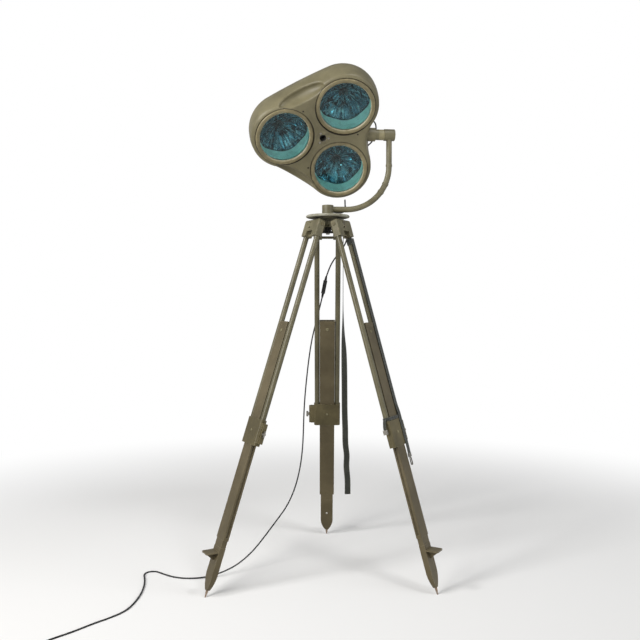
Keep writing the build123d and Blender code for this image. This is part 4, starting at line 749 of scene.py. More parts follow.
def blue_glass(name, colour):
    """Tinted lamp glass: a clear teal body, smooth gloss and faint cast ripples."""
    paint = Paint(name)
    ripple = paint.noise(paint.place(), 26.0, 2.0)
    normal = paint.bump(ripple, 0.05, 0.002)
    return paint.finished(Base_Color=colour, Roughness=0.01, Transmission_Weight=1.0, IOR=1.42,
                                     Specular_IOR_Level=0.13, Normal=normal)


def bright_bowl(name, angle, glint, reach):
    """One lamp's reflector: a pale enamelled crescent low on its lip, and above and behind it a mirror.

    The mirror's colour is a painted reflection: dark, with reddish blotches and bright streaks along its
    depth, and a painted highlight in a fan round the glint's azimuth at a share of the depth. Azimuths are
    the head's, so the lamp's own is added to the turn."""
    paint = Paint(name)
    around, depth = paint.uv()
    place = paint.place()
    turn = around * (2 * pi) + radians(angle)
    across, upward = (turn + pi / 2).wave(), turn.wave()

    def towards(azimuth):
        return (turn + (pi / 2 - radians(azimuth))).wave()

    shift = radians(angle) * 7.0
    rays = paint.joined(across * 8.0 + shift, upward * 8.0, depth * 0.9)
    swirl_coords = paint.joined(across * 2.3 + shift, upward * 2.3, depth * 4.0)
    ray = paint.noise(rays, 1.0, 3.0, 0.6, 0.3)
    swirl = paint.noise(swirl_coords, 1.0, 5.0, 0.6, 1.2)
    # Reddish blotches: in the mirror part of the painted reflection, on the lip a patchy stain
    blotch_mask = paint.noise(place, 34.0, 5.0, 0.62, 0.8)
    # Painted reflection: the mirror's colour is a picture of dark and mid-blue reflections with bright
    # streaks
    painted_reflection_lit = swirl.above(0.42, 0.58)
    painted_reflection = paint.mix(painted_reflection_lit, (0.003, 0.005, 0.007), (0.30, 0.52, 0.62))
    painted_reflection = paint.mix(ray.above(0.50, 0.60) * swirl.above(0.40, 0.50), painted_reflection, (0.90, 0.96, 1.0))
    painted_reflection = paint.mix(blotch_mask.above(0.55, 0.62) * 0.85, painted_reflection, (0.024, 0.009, 0.007))
    # Painted highlight: a bright fan round the glint's azimuth at its share of the depth
    painted_glint = towards(glint).above(0.66, 0.96) * depth.within(reach - 0.10, reach + 0.10, 0.14)
    painted_reflection = paint.mix(painted_glint * (ray.above(0.36, 0.52) * 0.8 + 0.2), painted_reflection, (0.97, 0.99, 1.0))
    # Painted dark reflection wherever neither a streak nor the highlight is
    shade = (1.0 - ray.above(0.36, 0.44)) * (1.0 - painted_glint)
    painted_reflection = paint.mix(shade * 0.95, painted_reflection, PAINTED_DARK_REFLECTION)
    dull = (shade + (1.0 - painted_reflection_lit) * (1.0 - painted_glint) * 0.85 + blotch_mask.above(0.55, 0.62)).clamped()
    edge = towards(-72.0).above(-0.15, 0.85) * BOWL_LIP
    lip = (edge - depth).above(0.0, 0.014)
    # Painted shade: a dark line just past the crescent's edge, along the bead
    step = (depth - edge).within(-0.004, 0.030, 0.014)
    pale = paint.mix(blotch_mask.above(0.48, 0.64) * 0.45, (0.98, 0.98, 0.84), (0.56, 0.60, 0.48))
    base = paint.mix(step * 0.92, painted_reflection, (0.010, 0.012, 0.014))
    base = paint.mix(lip, base, pale)
    normal = paint.bump(ray * 0.4 + swirl * 0.8, 0.16, 0.0022)
    rough = (lip * 0.45 + dull * 0.7 + 0.02).clamped()
    metal = ((1.0 - lip) * (1.0 - dull)).clamped()
    return paint.finished(Base_Color=base, Metallic=metal, Roughness=rough, Normal=normal,
                                     Specular_IOR_Level=0.12)


def clear_glass(name):
    """The bulb's own glass: thin, clear, a little smoked towards its foot."""
    paint = Paint(name)
    haze = paint.noise(paint.place(), 60.0, 3.0)
    base = paint.mix(haze * 0.5, (0.97, 0.98, 0.98), (0.72, 0.72, 0.70))
    return paint.finished(Base_Color=base, Roughness=0.03, Transmission_Weight=1.0, IOR=1.3)


def socket_finish(name, colour, wear):
    """The handle socket: its flange in the head's enamel, its bore painted near black."""
    paint = Paint(name)
    out = radius_of(*paint.local(head_frame())[:2])
    bore = 1.0 - out.above(14.2, 15.2)
    mottle = paint.noise(paint.place(), 46.0, 5.0, 0.62)
    flange = paint.mix(mottle.above(0.4, 0.66), tinted(colour, 0.72), tinted(colour, 1.2))
    rim = out.above(13.6, 14.4) * (1.0 - out.above(14.8, 15.8)) * wear
    base = paint.mix(bore, flange, (0.014, 0.013, 0.012))
    base = paint.mix(rim * mottle.above(0.35, 0.6), base, (0.30, 0.28, 0.22))
    normal = paint.bump(mottle, 0.2, 0.0006)
    return paint.finished(Base_Color=base, Roughness=0.42 + bore * 0.2, Normal=normal)


def bezel_enamel(name, colour, wear):
    """The lamp ring's khaki enamel, rubbed to bright metal along its inner lip, and lighter along its outer
    edge, partly worn and partly a painted highlight.
    """
    paint = Paint(name)
    across = paint.uv()[1]
    place = paint.place()
    cloud = paint.noise(place, 9.0, 4.0, 0.6)
    mottle = paint.noise(place, 60.0, 5.0, 0.62)
    light, dark = tinted(colour, 1.22), tinted(colour, 0.74)
    base = paint.mix((cloud * 0.6 + mottle * 0.4).above(0.36, 0.64), dark, light)
    lip = across.above(BEZEL_INNER + 3.4, BEZEL_INNER + 2.2) * mottle.above(0.34, 0.52)
    # Lighter outer edge: partly wear, partly a painted highlight
    edge = across.above(BEZEL_OUTER - 3.2, BEZEL_OUTER - 1.6) * mottle.above(0.5, 0.62)
    base = paint.mix(lip * wear * 1.5, base, (0.42, 0.38, 0.26))
    base = paint.mix(edge * wear, base, tinted(colour, 1.7))
    specks = (1.0 - paint.cells(place, 110.0).above(0.03, 0.07)) * cloud.above(0.5, 0.6)
    base = paint.mix(specks * 0.8, base, CHIPPED)
    normal = paint.bump(mottle * 0.6 - specks, 0.2, 0.0006)
    return paint.finished(Base_Color=base, Roughness=0.36 + mottle * 0.15, Normal=normal, IOR=1.45)


def studio_paper(name, colour, near, far):
    """A matt floor that keeps the shadow, and turns to plain white where it runs away from the lamp."""
    paint = Paint(name)
    matt = paint.node("ShaderNodeBsdfDiffuse", {}, {"Color": colour, "Roughness": 1.0})
    white = paint.node("ShaderNodeEmission", {}, {"Color": (1.0, 1.0, 1.0), "Strength": 1.0})
    away = radius_of(*paint.split(paint.place())[:2]).above(near, far)
    return paint.finish(paint.blend(away * paint.seen(), matt, white))


def studio_air(name, strength):
    """Soft light all round, weaker from straight above, seen as plain white."""
    paint = Paint(name, air=True)
    overhead = paint.split(paint.place())[2].above(0.0, 1.0)
    light = paint.node("ShaderNodeBackground", {}, {"Color": (0.97, 0.98, 1.0),
                                                    "Strength": (1.0 - overhead * 0.6) * strength})
    white = paint.node("ShaderNodeBackground", {}, {"Color": (1.0, 1.0, 1.0), "Strength": 1.0})
    return paint.finish(paint.blend(paint.seen(), light, white))


# Sizes and colours a user would change

class LampFinish(PropertyGroup):
    enamel: FloatVectorProperty(name="Olive enamel", description="Colour of the tripod and yoke",
                                subtype="COLOR", size=3, min=0, max=1, default=(0.132, 0.117, 0.064))
    housing: FloatVectorProperty(name="Head enamel", description="Colour of the lamp head",
                                 subtype="COLOR", size=3, min=0, max=1, default=(0.158, 0.139, 0.076))
    bar: FloatVectorProperty(name="Bar enamel", description="Browner colour of the sliding bars",
                             subtype="COLOR", size=3, min=0, max=1, default=(0.116, 0.091, 0.044))
    ring: FloatVectorProperty(name="Lamp rings", description="Colour of the rings round the glasses",
                              subtype="COLOR", size=3, min=0, max=1, default=(0.215, 0.182, 0.098))
    glass: FloatVectorProperty(name="Glass", description="Body colour of the lamp glasses",
                               subtype="COLOR", size=3, min=0, max=1, default=(0.50, 0.85, 0.89))
    wear: FloatProperty(name="Wear", description="How far edges are rubbed and chipped", default=0.55,
                        min=0, max=1, subtype="FACTOR")


class LeadSizes(PropertyGroup):
    lead: FloatProperty(name="Lead", description="Diameter of the supply lead", default=0.006,
                        min=0.003, max=0.012, unit="LENGTH")
    webbing: FloatProperty(name="Webbing", description="Width of the straps", default=0.025,
                           min=0.01, max=0.05, unit="LENGTH")


class StudioLight(PropertyGroup):
    key: FloatProperty(name="Key", description="Power of the large soft light", default=78.0, min=0,
                       unit="POWER")
    fill: FloatProperty(name="Fill", description="Power of the light on the other side", default=24.0, min=0,
                        unit="POWER")
    window: FloatProperty(name="Windows", description="Power of each small light that glints in the bowls",
                          default=34.0, min=0, unit="POWER")
    world: FloatProperty(name="World", description="Strength of the soft light all round", default=0.52,
                         min=0)


# Cords

def spline_object(name, points, radius, material, body, *nodes):
    """A round lead in place of its nodes: one smooth spline with the route's points as its controls."""
    curve = bpy.data.curves.new(name, "CURVE")
    curve.dimensions = "3D"
    curve.bevel_depth = radius * MM
    curve.bevel_resolution = 5
    curve.resolution_u = 10
    curve.use_fill_caps = True
    spline = curve.splines.new("NURBS")
    points = np.asarray(points, float) * MM
    spline.points.add(len(points) - 1)
    spline.points.foreach_set("co", np.hstack([points, np.ones((len(points), 1))]).ravel())
    spline.order_u = 3
    spline.use_endpoint_u = True
    piece = bpy.data.objects.new(name, curve)
    bpy.context.collection.objects.link(piece)
    curve.materials.append(material)
    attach(piece, body)
    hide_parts(*nodes)
    return piece


def coil_middle():
    return COIL_START[0] + COIL_OUTER, COIL_START[1] - 2 * CORD_RADIUS


def coil_points():
    """The coil's control points: half circles stepping in, one climb, and out again to the plug."""
    middle_x, middle_y = coil_middle()
    inward = [COIL_OUTER - COIL_STEP * k for k in range(COIL_HALF_TURNS + 1)]
    reach = inward + inward[::-1][1:]
    low, high = COIL_START[2], COIL_START[2] + COIL_LAYER
    heights = [low] * len(inward) + [high] * (len(reach) - len(inward))
    bulge = 1 / cos(pi / COIL_POINTS_PER_HALF / 2)
    points = []
    for k in range(len(reach) - 1):
        side = -1 if k % 2 == 0 else 1
        first, last = side * reach[k], -side * reach[k + 1]
        centre, radius = (first + last) / 2, abs(last - first) / 2
        share = (np.arange(COIL_POINTS_PER_HALF) + 0.5) / COIL_POINTS_PER_HALF
        turn = pi * share
        x = centre + side * radius * bulge * np.cos(turn)
        y = side * radius * bulge * np.sin(turn)
        z = heights[k] + (heights[k + 1] - heights[k]) * share
        points.append(np.stack([middle_x + x, middle_y + y, z], -1))
    return np.concatenate(points)


def coil_exit():
    """The last quarter turn out of the coil and the straight into the plug."""
    middle_x, middle_y = coil_middle()
    edge, high = middle_x - COIL_OUTER, COIL_START[2] + COIL_LAYER
    return np.array([(edge + along, middle_y - back, high) for along, back in COIL_EXIT])


def switch_ends():
    """The two ends of the switch's strain reliefs, where the lead goes in."""
    top, low = np.array(SWITCH_TOP), np.array(SWITCH_BOTTOM)
    middle, axis = (top + low) / 2, (top - low) / np.linalg.norm(top - low)
    return middle + axis * SWITCH_REACH, middle - axis * SWITCH_REACH


class LAMP_OT_cords(Operator):
    """Lay the supply lead, its coil, and the two leads of the head and yoke"""
    bl_idname = "floor_lamp.cords"
    bl_label = "Leads"

    def execute(self, context):
        rubber = lead_rubber("lead rubber")
        radius = context.scene.lead_sizes.lead / MM / 2
        top, low = switch_ends()
        gland_z = HINGE_Z - CASTING_SLOPE * (BUSH_REACH - CASTING_EDGE)
        gland = polar(BUSH_AZIMUTH, BUSH_REACH, gland_z)
        upper = [gland] + UPPER_ROUTE + [top]
        piece = spline_object("supply_lead_upper", upper, radius, rubber, "tripod_head", "supply_cord_upper")
        lower = np.vstack([[low], LOWER_ROUTE, [COIL_START], coil_points(), coil_exit()])
        piece = spline_object("supply_lead_lower", lower, radius, rubber, "tripod_head",
                              "supply_cord_lower", "cord_coil")
        low * MM
        self.yoke_lead(rubber, radius)
        self.head_lead(rubber, radius)
        return {"FINISHED"}

    def yoke_lead(self, rubber, radius):
        middle_x, middle_z = YOKE_REACH - YOKE_BEND_RADIUS, YOKE_ARM_Z + YOKE_BEND_RADIUS
        bend = [
            (middle_x + (YOKE_BEND_RADIUS + 1) * sin(radians(a)), YOKE_CORD_BACK,
             middle_z - (YOKE_BEND_RADIUS + 1) * cos(radians(a)))
            for a in YOKE_CORD_ANGLES
        ]
        route = placed(yoke_frame(), YOKE_CORD_TOP + bend + YOKE_CORD_BIGHT)
        piece = spline_object("yoke_lead", route, radius, rubber, "yoke", "yoke_cord")
        route[0] * MM

    def head_lead(self, rubber, radius):
        ends = []
        for start, tip in zip(HEAD_GLANDS, (HEAD_LEAD_ROUTE[0], HEAD_LEAD_ROUTE[-1])):
            back = np.array(start) - np.array(tip)
            ends.append(np.array(tip) + back / np.linalg.norm(back) * GLAND_SINK)
        route = placed(head_frame(), [ends[0]] + HEAD_LEAD_ROUTE + [ends[1]])
        piece = spline_object("stub_lead_smooth", route, radius, rubber, "lamp_head", "stub_lead")
        route[0] * MM


# Straps

class LAMP_OT_straps(Operator):
    """Hang the webbing strap from its hook, and lay the straps of the right leg"""
    bl_idname = "floor_lamp.straps"
    bl_label = "Webbing straps"

    def execute(self, context):
        width = context.scene.lead_sizes.webbing / MM
        cloth = webbing("dark webbing", width / 2)
        self.hanging(cloth, width)
        self.leg_strap(cloth, width)
        self.narrow_strap(webbing("narrow webbing", NARROW_WIDTH / 2))
        return {"FINISHED"}

    def hanging(self, cloth, width):
        """A band along a smooth line through the route, its width turning from edge on to face on."""
        stops = np.array(STRAP_ROUTE)[::-1]
        fine = np.linspace(stops[-1, 2], stops[0, 2], 260)
        path = np.stack([smooth_through(stops[:, 2], stops[:, k], fine) for k in (0, 1)] + [fine], -1)
        angle = np.radians(smooth_through(stops[:, 2], stops[:, 3], fine))
        sideways = np.stack([np.cos(angle), np.sin(angle), np.zeros_like(angle)], -1)
        shape = Shape()
        length = band(shape, path, sideways, width)
        turn = np.linspace(0, 2 * pi, 33)[:-1]
        ring = 3.6
        loop = np.array(STRAP_HOOK) + ring * np.stack([np.cos(turn), 0 * turn, np.sin(turn)], -1)
        length += band(shape, loop, (0.0, 1.0, 0.0), width, closed=True)
        piece = shape.build("hanging_strap_webbing", cloth, "tripod_head")
        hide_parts("hanging_strap")

    def leg_strap(self, cloth, width):
        """A band down the leg's outer face: an eased line in the leg's own frame, looped on a rail."""
        frame = leg_frame("right")
        line = eased(LEG_STRAP, 220, 9.0)
        path = np.stack([line[:, 0], np.full(len(line), LEG_STRAP_AT), line[:, 1]], -1)
        shape = Shape()
        length = band(shape, placed(frame, path), frame[:3, 1], width)
        turn = np.linspace(0, 2 * pi, 41)[:-1]
        middle = (0.0, RAIL_SPACING / 2, -60.0 - width / 2)
        loop = np.array(middle) + LEG_STRAP_LOOP * np.stack([np.cos(turn), np.sin(turn), 0 * turn], -1)
        length += band(shape, placed(frame, loop), frame[:3, 2], width, closed=True)
        piece = shape.build("leg_strap_webbing", cloth, "right_upper_leg")
        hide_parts("right_leg_straps")

    def narrow_strap(self, cloth):
        """A narrow band round both rails: two half circles joined by lines, and a loose tail."""
        frame = leg_frame("right")
        half = np.linspace(-pi / 2, pi / 2, 17)
        apart = RAIL_SPACING / 2
        near = np.stack([NARROW_REACH * np.sin(half), apart + NARROW_REACH * np.cos(half)], -1)
        straight = np.linspace(0, 1, 12)[1:-1, None]
        outline = [near, near[-1] * (1 - straight) + near[-1] * (1, -1) * straight, -near,
                   -near[-1] * (1 - straight) + near[0] * straight]
        line = np.concatenate(outline)
        path = np.column_stack([line, np.full(len(line), NARROW_LOW + NARROW_WIDTH / 2)])
        shape = Shape()
        length = band(shape, placed(frame, path), frame[:3, 2], NARROW_WIDTH, closed=True)
        tail = eased(NARROW_TAIL, 60, 5.0)
        path = np.column_stack([np.zeros(len(tail)), tail])
        length += band(shape, placed(frame, path), frame[:3, 0], NARROW_WIDTH)
        piece = shape.build("narrow_strap_webbing", cloth, "right_upper_leg")


# Finishes of the frame's own nodes

class LAMP_OT_finishes(Operator):
    """Give each of the frame's nodes its finish"""
    bl_idname = "floor_lamp.finishes"
    bl_label = "Frame finishes"

    def execute(self, context):
        look = context.scene.lamp_finish
        wear = look.wear
        olive = enamel("olive enamel", tuple(look.enamel), wear, 0.4, 0.38)
        head = enamel("head enamel", tuple(look.housing), wear * 0.6, 0.3, 0.38, 0.2, painted_gap_shade)
        stub = enamel("stub enamel", tuple(look.housing), wear, 0.3, 0.36, 0.2, stub_band)
        bars = enamel("bar enamel", tuple(look.bar), wear * 1.3, 0.35, 0.42, 0.16)
        rails = enamel("rail enamel", tinted(look.enamel, 0.94), wear, 0.3, 0.27, 0.2)
        collars = enamel("collar enamel", tuple(c * k for c, k in zip(look.enamel, (0.90, 0.82, 0.62))),
                         wear * 1.4, 0.4, 0.40)
        brackets = enamel("bracket enamel", tinted(look.enamel, 1.15), 1.0, 0.5, 0.44, 0.3,
                          primer_patches)
        plate = enamel("plate enamel", tinted(look.enamel, 1.15), wear, 0.5, 0.46, 0.3, plate_rim)
        steel = worn_steel("worn steel")
        rusty = worn_steel("rusty spike steel", (0.44, 0.33, 0.25), 0.95, 0.46)
        bright = worn_steel("bright screw steel", (0.36, 0.34, 0.30), 0.25, 0.36)
        hardware = worn_steel("tarnished buckle steel", (0.34, 0.32, 0.28), 0.45, 0.36)
        iron = black_iron("blackened iron")
        black = moulded("black phenolic", (0.012, 0.012, 0.012))
        brass = worn_steel("nickelled pins", (0.60, 0.56, 0.44), 0.1, 0.25)
        tie = moulded("tie plastic", (0.014, 0.014, 0.015), 0.45)
        finishes = {
            "top_plate": plate, "head_casting": olive, "lower_hub": olive, "yoke_tube": olive,
            "upper_sleeve": olive, "pivot_stub": stub, "front_housing": head, "rear_housing": head,
            "swivel_spindle": steel, "hinge_bolts": collars, "clamp_knob": iron,
            "handle_socket": socket_finish("socket enamel", tuple(look.housing), wear),
            "handle_socket_screws": bright, "yoke_cord_clips": olive, "switch_body": black,
            "switch_rocker": black, "plug_body": black, "plug_pins": brass, "coil_tie": tie,
            "bulb_holders": black, "strap_hardware": hardware,
        }
        for leg in LEGS:
            finishes[leg + "_leg_bracket"] = brackets
            finishes[leg + "_leg_rails"] = rails
            finishes[leg + "_leg_collar"] = collars
            finishes[leg + "_clamp_screw"] = steel
            finishes[leg + "_lower_bar"] = bars
            finishes[leg + "_foot_shoe"] = bars
            finishes[leg + "_foot_spike"] = rusty
        for node, material in finishes.items():
            dress(node, material)
        return {"FINISHED"}


def dress(node, material):
    """Gives a frame node's object one material in place of its own."""
    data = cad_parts[node].data
    data.materials.clear()
    data.materials.append(material)


# Lamps

def bezel_profile():
    """The lamp ring's section: a flat foot, a rolled outer shoulder and a bevelled, rounded lip."""
    corners = [(BEZEL_INNER, 0.0), (BEZEL_OUTER, 0.0), (BEZEL_OUTER, BEZEL_HEIGHT),
               (BEZEL_INNER + 5.0, BEZEL_HEIGHT), (BEZEL_INNER, 2.5)]
    return rounded(corners, [0.4, 0.4, 3.4, 2.4, 1.0], 6)


def glass_profile(steps=24):
    """Two arcs of one large sphere, a glass wall apart, from the axis to the edge and back."""
    crown = (GLASS_RADIUS ** 2 + GLASS_CROWN ** 2) / (2 * GLASS_CROWN)
    middle = GLASS_CROWN - GLASS_DROP - crown
    reach = GLASS_RADIUS * np.sin(np.linspace(0, pi / 2, steps))
    top = np.stack([reach, middle + np.sqrt(crown ** 2 - reach ** 2)], -1)
    return np.concatenate([top, (top - (0, GLASS_WALL))[::-1]])


def bowl_profile(steps=44):
    """A parabola, radius squared falling evenly with depth, with a bead below its lip and a back wall."""
    share = np.linspace(0, 1, steps)
    radius = np.sqrt(BOWL_MOUTH ** 2 + (BOWL_THROAT ** 2 - BOWL_MOUTH ** 2) * share)
    height = BOWL_TOP - BOWL_DEPTH * share
    bead = np.exp(-((share - BOWL_LIP) / 0.012) ** 2)
    inner = np.stack([radius - 1.5 * bead, height], -1)
    outer = np.stack([radius + BOWL_WALL, height - BOWL_WALL / 2], -1)[:0:-1]
    flange = [(BOWL_MOUTH + BOWL_WALL, BOWL_LEDGE), (GLASS_RADIUS, BOWL_LEDGE), (GLASS_RADIUS, BOWL_TOP)]
    marks = np.concatenate([share, share[:0:-1], [0.0, 0.0, 0.0, 0.0]])
    return np.concatenate([inner, outer, flange]), marks


def envelope_profile(steps=12, wall=0.9):
    """The bulb's glass: a straight side and half an ellipse over it, and the same a wall inside."""
    foot = BOWL_TOP - BOWL_DEPTH - BULB_SINK
    top = BOWL_TOP - BOWL_DEPTH + BULB_LENGTH
    turn = np.linspace(0, pi / 2, steps)
    shoulder = top - BULB_RADIUS
    dome = np.stack([BULB_RADIUS * np.cos(turn), shoulder + BULB_RADIUS * np.sin(turn)], -1)
    inner = BULB_RADIUS - wall
    inside = np.stack([inner * np.cos(turn), shoulder + inner * np.sin(turn)], -1)
    return np.concatenate([[(BULB_RADIUS, foot)], dome, inside[::-1], [(inner, foot)]])


def collar_profile():
    """The bulb's collar: a ring in the bowl's throat with a wider, bevelled flange over it."""
    foot = BOWL_TOP - BOWL_DEPTH - 0.6
    top = BOWL_TOP - BOWL_DEPTH + COLLAR_HEIGHT + 1.0
    corners = [(BULB_RADIUS + 0.1, foot), (COLLAR_RADIUS, foot), (COLLAR_RADIUS, top - 5.5),
               (COLLAR_FLANGE, top - 5.5), (COLLAR_FLANGE, top - 1.5), (COLLAR_FLANGE - 2.0, top),
               (BULB_RADIUS + 0.1, top)]
    return rounded(corners, [0.3, 0.3, 0.4, 0.8, 0.6, 0.6, 0.4], 3)


def filament_paths():
    """Two posts that lean apart, and between their tips a coil: a circle drawn out along a line."""
    foot, tip = BOWL_TOP - BOWL_DEPTH, BOWL_TOP - BOWL_DEPTH + 27.0
    posts = []
    for side in (-1.0, 1.0):
        share = np.linspace(0, 1, 9)
        posts.append(np.stack([side * (2.6 + 3.4 * share ** 2), 0 * share, foot + (tip - foot) * share], -1))
    turn = np.linspace(0, 7 * 2 * pi, 7 * 12)
    across = np.linspace(-6.0, 6.0, len(turn))
    coil = np.stack([across, 1.5 * np.cos(turn) - 1.5, tip + 1.5 * np.sin(turn)], -1)
    return posts, coil


class LAMP_OT_lamps(Operator):
    """Fill each lamp: its ring, crowned blue glass, bowl, and clear bulb in a dark collar"""
    bl_idname = "floor_lamp.lamps"
    bl_label = "Lamps"

    def execute(self, context):
        look = context.scene.lamp_finish
        ring = bezel_enamel("lamp ring enamel", tuple(look.ring), look.wear)
        glass = blue_glass("blue lamp glass", tuple(look.glass))
        section, marks = bowl_profile()
        for lamp, angle in LAMPS.items():
            frame = lamp_frame(angle)
            outline = bezel_profile()
            self.turned(lamp + "_bezel_ring", outline, frame, ring, lamp + "_bezel", "housing_paint",
                        v=np.append(outline[:, 0], outline[0, 0]))
            self.turned(lamp + "_blue_glass", glass_profile(), frame, glass, lamp + "_lens", "blue_glass",
                        closed=False)
            bowl = bright_bowl(lamp + " bright bowl", angle, *GLINTS[lamp])
            self.turned(lamp + "_bowl", section, frame, bowl, lamp + "_reflector", "reflector", v=marks)
        self.bulbs()
        return {"FINISHED"}

    def turned(self, name, profile, frame, material, node, slot, v=None, closed=True):
        shape = Shape()
        shape.grid(placed(frame, turned(profile, 144)), wrap=(True, closed), v=v)
        piece = shape.build(name, material, "lamp_head")
        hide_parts(node)

    def bulbs(self):
        envelope, collar, wires = Shape(), Shape(), Shape()
        for angle in LAMPS.values():
            frame = lamp_frame(angle)
            envelope.grid(placed(frame, turned(envelope_profile(), 40)), wrap=(True, True))
            collar.grid(placed(frame, turned(collar_profile(), 40)), wrap=(True, True))
            posts, coil = filament_paths()
            for path, radius in [(post, 0.7) for post in posts] + [(coil, 0.32)]:
                wires.grid(placed(frame, pipe(path, radius, 8)), wrap=(False, True))
        piece = envelope.build("bulb_envelopes", clear_glass("bulb glass"), "lamp_head")
        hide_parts("bulbs")
        collar.build("bulb_collars", moulded("brown phenolic", (0.050, 0.014, 0.009), 0.3), "lamp_head")
        wires.build("bulb_filaments", worn_steel("filament wire", (0.62, 0.60, 0.56), 0.0, 0.25), "lamp_head")


# Small fasteners

def head_profile(radius, height):
    """A domed screw head: a shank, a rounded rim, an arc over, and a dimple in the middle."""
    return [(0, height * 0.4), (radius * 0.3, height * 0.45), (radius * 0.42, height),
            (radius * 0.75, height * 0.85), (radius * 0.95, height * 0.35), (radius, 0.0),
            (radius * 0.96, -SCREW_SINK), (0, -SCREW_SINK)]


def rivet_profile(radius, height, steps=7):
    """A plain rivet: a quarter circle flattened to the height, closed underneath."""
    turn = np.linspace(pi / 2, 0, steps)
    dome = np.stack([radius * np.cos(turn), height * np.sin(turn)], -1)
    return np.concatenate([dome, [(radius, -SCREW_SINK), (0, -SCREW_SINK)]])


def face_place(azimuth, radius):
    """A point on the head's dished face: each lamp's plane rises from the middle towards its lobe."""
    x, y = polar(azimuth, radius)[:2]
    rise = max(x * cos(radians(a)) + y * sin(radians(a)) for a in LAMPS.values())
    return x, y, FACE_HEIGHT + rise * tan(radians(FACE_DISH))


def on_leg(name, x, y, z):
    """A frame on a leg's inner or outer face, square to it."""
    frame = leg_frame(name)
    return plane(placed(frame, (x, y, z)), frame[:3, 1], frame[:3, 0] * (1 if x > 0 else -1))


class LAMP_OT_fasteners(Operator):
    """Set the small screws and rivets: round the face, on the collars, bars and shoes"""
    bl_idname = "floor_lamp.fasteners"
    bl_label = "Screws and rivets"

    def execute(self, context):
        dark = black_iron("dark screw", (0.022, 0.019, 0.015))
        bright = worn_steel("bright screw", (0.66, 0.63, 0.57), 0.12, 0.3)
        pale = enamel("rubbed rivet enamel", tinted(context.scene.lamp_finish.enamel, 1.7), 1.0)
        head = head_frame()
        face = []
        for azimuth in FACE_SCREW_ANGLES:
            at = placed(head, face_place(azimuth, FACE_SCREW_CIRCLE))
            face.append(plane(at, head[:3, 0], head[:3, 2]))
        self.row("face_screws", face, head_profile(3.4, 1.5), dark, "lamp_head", "dark_metal")
        for name in LEGS:
            length = leg_length(name)
            rivets = [on_leg(name, side * COLLAR_HALF_DEPTH, 0.0, -COLLAR_RIVET) for side in (-1, 1)]
            self.row(name + "_collar_rivets", rivets, rivet_profile(5.2, 2.0), pale, name + "_upper_leg",
                     "olive_paint")
            tops = [on_leg(name, side * BAR_HALF_DEPTH, 0.0, -BAR_SCREW) for side in (-1, 1)]
            lower = name + "_lower_leg"
            self.row(name + "_bar_screws", tops, head_profile(7.2, 3.2), pale, lower, "bar_paint")
            shoes = [on_leg(name, -BAR_HALF_DEPTH, 0.0, -(length - SHOE_SCREW))]
            self.row(name + "_shoe_screw", shoes, head_profile(5.2, 2.0), bright, lower, "worn_steel")
        return {"FINISHED"}

    def row(self, name, frames, profile, material, body, slot):
        shape = Shape()
        for frame in frames:
            shape.grid(placed(frame, turned(profile, 24)), wrap=(True, False))
        piece = shape.build(name, material, body)


# Stage

def area_light(name, at, aim, size, power, colour=(1, 1, 1)):
    light = bpy.data.lights.new(name, "AREA")
    light.shape, light.size, light.size_y = "RECTANGLE", size[0], size[1]
    light.energy, light.color = power, colour
    lamp = bpy.data.objects.new(name, light)
    bpy.context.collection.objects.link(lamp)
    direction = Vector(aim) - Vector(at)
    lamp.matrix_world = Matrix.Translation(at) @ direction.to_track_quat("-Z", "Y").to_matrix().to_4x4()
    return lamp


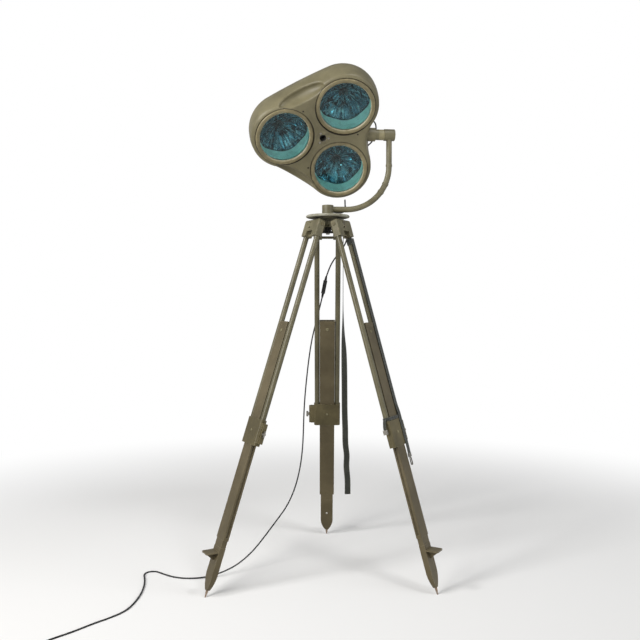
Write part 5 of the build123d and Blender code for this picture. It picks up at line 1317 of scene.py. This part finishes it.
class LAMP_OT_studio(Operator):
    """Set the pale floor, the soft lights and the photograph's camera"""
    bl_idname = "floor_lamp.studio"
    bl_label = "Studio"

    def execute(self, context):
        light = context.scene.studio_light
        self.floor()
        context.scene.world = studio_air("studio air", light.world)
        area_light("key", (-2.3, -3.0, 2.0), (0, 0, 1.2), (1.8, 1.8), light.key, (1.0, 0.985, 0.96))
        area_light("fill", (3.0, -1.7, 1.9), (0, 0, 1.1), (2.2, 2.4), light.fill, (0.95, 0.975, 1.0))
        area_light("left window", (-2.1, -1.35, 2.85), (0, 0, 1.85), (0.6, 0.6), light.window)
        area_light("right window", (1.0, -1.35, 3.85), (0, 0, 1.85), (0.5, 0.5), light.window * 0.6)
        self.camera(context.scene)
        return {"FINISHED"}

    def floor(self):
        """A level floor, large enough to run out of sight: a plain grid of points."""
        reach = np.linspace(-14, 14, 29)
        points = np.stack(np.broadcast_arrays(reach[None, :], reach[:, None], np.zeros((1, 1))), -1)
        count = len(reach)
        mesh = bpy.data.meshes.new("studio floor")
        i, j = np.meshgrid(np.arange(count - 1), np.arange(count - 1), indexing="ij")
        quads = np.stack([i * count + j, i * count + j + 1, (i + 1) * count + j + 1, (i + 1) * count + j], -1)
        mesh.from_pydata(points.reshape(-1, 3).tolist(), [], quads.reshape(-1, 4).tolist())
        floor = bpy.data.objects.new("studio_floor", mesh)
        bpy.context.collection.objects.link(floor)
        mesh.materials.append(studio_paper("studio paper", (0.84, 0.835, 0.825), 1.2, 3.4))

    def camera(self, scene):
        data = bpy.data.cameras.new("photograph view")
        data.sensor_width = SENSOR_MM
        data.lens = CAMERA_FOCAL_PX / FRAME_PX * SENSOR_MM
        camera = bpy.data.objects.new("photograph_view", data)
        camera.location = CAMERA_AT
        camera.rotation_euler = (pi / 2 - radians(CAMERA_PITCH), 0, 0)
        bpy.context.collection.objects.link(camera)
        scene.camera = camera
        scene.view_settings.view_transform = "Standard"


class LAMP_PT_panel(Panel):
    """The lamp's pieces, in the order in which they are made"""
    bl_idname = "LAMP_PT_panel"
    bl_label = "Floor Lamp"
    bl_space_type = "VIEW_3D"
    bl_region_type = "UI"
    bl_category = "Floor Lamp"

    def draw(self, context):
        for group in (context.scene.lamp_finish, context.scene.lead_sizes, context.scene.studio_light):
            box = self.layout.box()
            for name in group.__annotations__:
                box.prop(group, name)
        for operator in STEPS:
            self.layout.operator(operator.bl_idname)


STEPS = (LAMP_OT_finishes, LAMP_OT_lamps, LAMP_OT_fasteners, LAMP_OT_cords, LAMP_OT_straps, LAMP_OT_studio)
GROUPS = {"lamp_finish": LampFinish, "lead_sizes": LeadSizes, "studio_light": StudioLight}


def register():
    for group in GROUPS.values():
        bpy.utils.register_class(group)
    for item in STEPS + (LAMP_PT_panel,):
        bpy.utils.register_class(item)
    for name, group in GROUPS.items():
        setattr(bpy.types.Scene, name, PointerProperty(type=group))


def unregister():
    for name in GROUPS:
        delattr(bpy.types.Scene, name)
    for item in reversed(STEPS + (LAMP_PT_panel,)):
        bpy.utils.unregister_class(item)
    for group in reversed(list(GROUPS.values())):
        bpy.utils.unregister_class(group)


def main():
    register()
    for operator in STEPS:
        prefix, name = operator.bl_idname.split(".")
        getattr(getattr(bpy.ops, prefix), name)()


if __name__ == "__main__":
    main()
